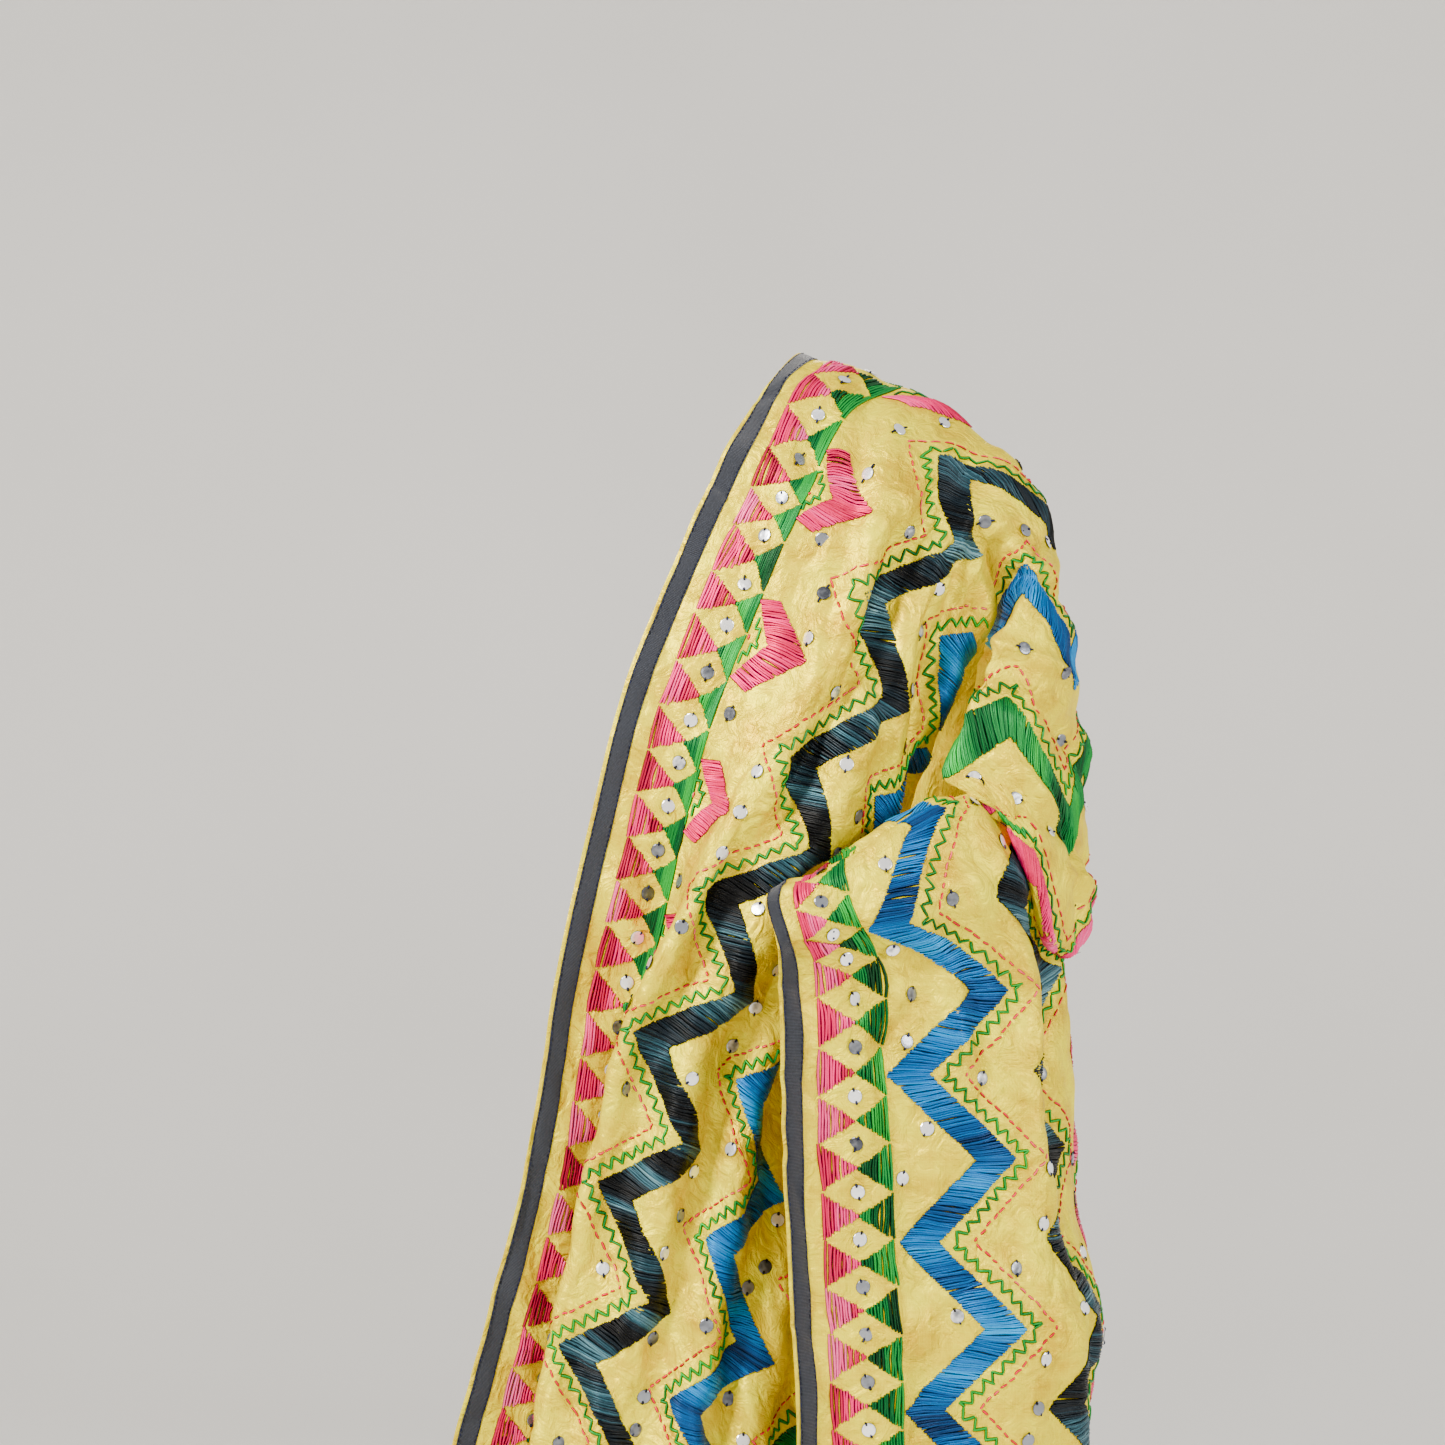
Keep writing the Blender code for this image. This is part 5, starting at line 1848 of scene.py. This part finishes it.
@dataclass
class SilkSheet:
    """The thin shell of one stretch, hemmed where it ends."""

    stretch: Stretch
    material: Material
    thickness: float = 0.0006
    hem: float = 0.0095  # cloth turned up at a hem
    hem_thickness: float = 0.0018
    most: float = 1.02  # the flat area's largest share of what the worn form measures

    def make(self) -> Object:
        """Builds the shell."""
        stretch = self.stretch
        cloth = np.stack([stretch.down, stretch.across], -1)
        mesh = sheet_mesh(f"silk_{stretch.name}", stretch.points, cloth, stretch.face)
        reach = np.abs(stretch.down).ravel()
        turned = np.flatnonzero(reach > reach.max() - self.hem) if stretch.hemmed() else None
        return shelled(mesh, self.material, self.thickness, turned, self.hem_thickness)

    def cut(self) -> tuple[Pair, float]:
        """The flat width and length of the stretch and its flat area, less what is tucked away."""
        down, across, points = self.stretch.down, self.stretch.across, self.stretch.points
        top, bottom = (np.stack([down[k], across[k]], -1) for k in (0, -1))
        left, right = (np.stack([down[:, k], across[:, k]], -1) for k in (0, -1))
        rim = np.concatenate([top, right, bottom[::-1], left[::-1]])
        u, v = rim[:, 0], rim[:, 1]
        flat = abs(float(np.dot(u, np.roll(v, -1)) - np.dot(v, np.roll(u, -1)))) / 2
        sides = np.cross(np.diff(points[:-1], axis=1), np.diff(points[:, :-1], axis=0))
        worn = float(norm(sides, axis=2).sum())
        return (float(np.ptp(across)), float(np.ptp(down))), min(flat, worn * self.most)


@dataclass
class EdgeTape:
    """The cotton tape along a long edge, sewn down along both of its sides."""

    run: Run
    worn: Worn
    material: Material
    floss: Material
    lip: float = 0.0032
    width: float = 0.0155
    lift: float = 0.0009
    thickness: float = 0.0008
    step: float = 0.005
    columns: int = 7
    within: float = 0.00002  # keeps the strip's ends on its stretch
    near: float = 0.001  # a stretch whose own edge lies within this of the tape's has a strip
    pucker: float = 0.00022
    puckers: Pair = (640.0, 90.0)  # how fast they follow each other, and how that varies
    crown: Pair = (0.55, 0.45)  # its lift at its sides, and what its middle adds
    seam: float = 0.0011  # from its side to the stitches
    seam_pitch: float = 0.0042
    seam_stitch: float = 0.0031
    seam_stray: float = 0.00025

    def strip(self, stretch: Stretch) -> Object:
        """The tape on one stretch."""
        low, high = sorted((float(stretch.down.min()), float(stretch.down.max())))
        down = np.linspace(low + self.within, high - self.within, int((high - low) / self.step) + 2)
        share = np.linspace(0.0, 1.0, self.columns)
        inset = self.lip + self.width * share
        across = self.run.edge + self.run.inward * inset
        grid = np.stack(np.broadcast_arrays(down[:, None], across[None]), -1)
        spots, facings, _ = Worn([stretch]).lay(grid, shift=False)
        keep = ~np.isnan(spots).any(axis=(1, 2))
        spots, facings, grid = spots[keep], facings[keep], grid[keep]
        fast, slow = self.puckers
        pucker = self.pucker * np.sin(grid[..., 0] * fast + 2 * np.sin(grid[..., 0] * slow))
        crown = self.lift * (self.crown[0] + self.crown[1] * np.sin(pi * share)) + pucker
        mesh = sheet_mesh(f"tape_{stretch.name}", spots + facings * crown[..., None], grid,
                          stretch.face * self.turned(stretch))
        return shelled(mesh, self.material, self.thickness)

    def turned(self, stretch: Stretch) -> float:
        """1 where the strip's rows and columns run the way the stretch's grid does, or -1."""
        own = 1.0 if stretch.down[-1, 0] >= stretch.down[0, 0] else -1.0
        own *= 1.0 if stretch.across[0, -1] >= stretch.across[0, 0] else -1.0
        if not stretch.rows_down:
            own = -1.0 if stretch.down[0, -1] >= stretch.down[0, 0] else 1.0
        return own * self.run.inward

    def seams(self) -> Stitches:
        """The dark lines of stitches along the tape's sides."""
        chance = default_rng(SEED + 9)
        at = np.arange(self.run.start, self.run.end, self.seam_pitch)
        rows = []
        for inset in (self.lip + self.seam, self.lip + self.width - self.seam):
            strayed = inset + chance.normal(0.0, self.seam_stray, at.shape)
            across = self.run.edge + self.run.inward * strayed
            start, end = np.stack([at, across], -1), np.stack([at + self.seam_stitch, across], -1)
            rows.append(straight(start, end, Shade.SOOT, chance))
        return Stitches.joined(rows)

    def make(self) -> list[Piece]:
        """Builds the tape's strips and its stitching."""
        made = []
        seams = self.seams()
        thread = Thread(self.floss, *THREADS["tape_stitches"])
        spots, facings, home = self.worn.lay(seams.places, shift=False)
        for stretch, mine in self.worn.homes(home):
            edge = stretch.across if self.run.inward > 0 else -stretch.across
            if abs(edge.min() - self.run.edge * self.run.inward) > self.near:
                continue
            made.append(("tape", stretch.name, self.strip(stretch)))
            sewn = thread.sew(f"tape_stitches_{stretch.name}", spots[mine], facings[mine],
                              seams.tints[mine])
            made.append(("tape_stitches", stretch.name, sewn))
        return made


TAPES = {
    "front_fall": "tape_front_edge", "shoulder_yoke": "tape_shoulder_edge",
    "back_fall": "tape_back_edge", "forearm_fall": "tape_wrist_edge",
    "forearm_wrap": "tape_wrist_roll",
}


@dataclass
class Dupatta:
    """The whole garment: the cloth, its tapes and all that is sewn on it."""

    drape: Drape = field(default_factory=Drape)

    def make(self) -> list[Object]:
        """Builds every piece, hangs it on the root and logs its faces."""
        silk, floss = SilkGround().make(), SilkFloss().make()
        tape, glass = CottonTape().make(), MirrorGlass().make()
        stretches = self.drape.stretches()
        pieces = []
        sheets = {}
        for name, stretch in stretches.items():
            sheet = SilkSheet(stretch, silk)
            sheets[name] = sheet, sheet.make()
            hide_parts(name)
        sewn = {name: [] for name in stretches}
        for run in (FRONT_RUN, FOREARM_RUN):
            worn = Worn([stretches[name] for name in run.names])
            work = Embroidery(run, worn, floss, glass).make()
            work += EdgeTape(run, worn, tape, floss).make()
            for kind, name, obj in work:
                sewn[name].append(obj)
                if kind == "tape":
                    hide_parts(TAPES[name])
        for name, (sheet, obj) in sheets.items():
            size, area = sheet.cut()
            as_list(sewn[name])
            pieces += [obj] + sewn[name]
        for piece in pieces:
            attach(piece, "root")
            piece.data.name = piece.name
            LOG.info("%s: %d faces", piece.name, len(piece.data.polygons))
        return pieces


class Lamp(NamedTuple):
    """A soft square light that faces the garment; its spot is as the viewer sees it."""

    name: str
    spot: Place
    size: float
    power: float
    tint: str


LAMPS = (
    Lamp("key", (-1.8, 1.9, 1.3), 0.5, 200.0, "#FFF9F0"),
    Lamp("fill", (2.2, 1.5, 0.5), 0.9, 60.0, "#FFFDF8"),
    Lamp("back", (-0.4, -2.6, 1.1), 1.4, 62.0, "#FFFFFF"),
    Lamp("top", (0.0, 0.4, 2.6), 1.4, 10.0, "#FFFFFF"),
)


@dataclass
class Studio:
    """A pale paper sweep, soft lights and the camera."""

    distance: float = 3.2
    turn: float = TURN
    centre: float = -0.157  # the camera's place sideways, as the viewer sees it
    height: float = -0.270
    lens: float = 97.7
    sensor: float = 36.0
    floor: float = -1.62
    hub: float = 0.01  # the radius of the floor's middle
    wall: float = 5.2
    cove: float = 1.6
    ceiling: float = 3.6
    sides: int = 64
    cove_steps: int = 13
    aim: Place = (0.0, 0.0, -0.35)
    sky: str = "#E8ECF2"
    glow: float = 0.44
    paper: StudioPaper = StudioPaper()

    def sweep(self) -> Object:
        """The floor that turns up into a wall all round, so that every side has the same ground."""
        turns = np.radians(np.linspace(0, 90, self.cove_steps))
        profile = [(self.hub, self.floor), (self.wall - self.cove, self.floor)]
        profile += [(self.wall - self.cove + self.cove * sin(t),
                     self.floor + self.cove * (1 - cos(t))) for t in turns[1:]]
        profile.append((self.wall, self.ceiling))
        around = np.linspace(0, 2 * pi, self.sides, endpoint=False)
        points = [(r * cos(t), r * sin(t), z) for r, z in profile for t in around]
        faces = ringed(len(profile), self.sides)
        faces.append(tuple(range(self.sides)))
        mesh = bpy.data.meshes.new("backdrop")
        mesh.from_pydata(points, [], faces)
        mesh.shade_smooth()
        mesh.materials.append(self.paper.make())
        obj = new_object("backdrop", mesh)
        return obj

    def light(self, lamp: Lamp) -> None:
        """Sets up a light."""
        data = bpy.data.lights.new(lamp.name, "AREA")
        data.size, data.energy = lamp.size, lamp.power
        data.color = linear(lamp.tint)
        obj = new_object(lamp.name, data)
        obj.location = place(np.array(lamp.spot)).tolist()
        obj.rotation_euler = aimed(place(np.array(self.aim)) - np.array(obj.location))

    def make(self) -> None:
        """Sets it all up."""
        self.sweep()
        for lamp in LAMPS:
            self.light(lamp)
        world = bpy.data.worlds.new("studio")
        world.use_nodes = True
        ground = world.node_tree.nodes["Background"]
        ground.inputs["Color"].default_value = colour(self.sky)
        ground.inputs["Strength"].default_value = self.glow
        bpy.context.scene.world = world
        camera = bpy.data.cameras.new("camera")
        camera.lens = self.lens
        camera.sensor_width = self.sensor
        obj = new_object("camera", camera)
        centre = place(np.array((self.centre, 0.0, self.height)))
        back = place(np.array((0.0, self.distance, 0.0)))
        obj.location = (centre + back).tolist()
        obj.rotation_euler = (pi / 2, 0.0, self.turn)
        bpy.context.scene.camera = obj


def aimed(aim: ndarray) -> Place:
    """The rotation that points a light's -Z along an aim."""
    flat = math.hypot(aim[0], aim[1])
    return (pi / 2 + math.atan2(aim[2], flat), 0.0, math.atan2(aim[1], aim[0]) - pi / 2)


def main() -> None:
    """Builds the garment and the studio."""
    logging.basicConfig(level=logging.INFO, format="%(name)s: %(message)s")
    Studio().make()
    pieces = Dupatta().make()
    total = sum(len(polygon.vertices) - 2 for piece in pieces for polygon in piece.data.polygons)
    LOG.info("%d pieces, %d triangles", len(pieces), total)


if __name__ == "__main__":
    main()
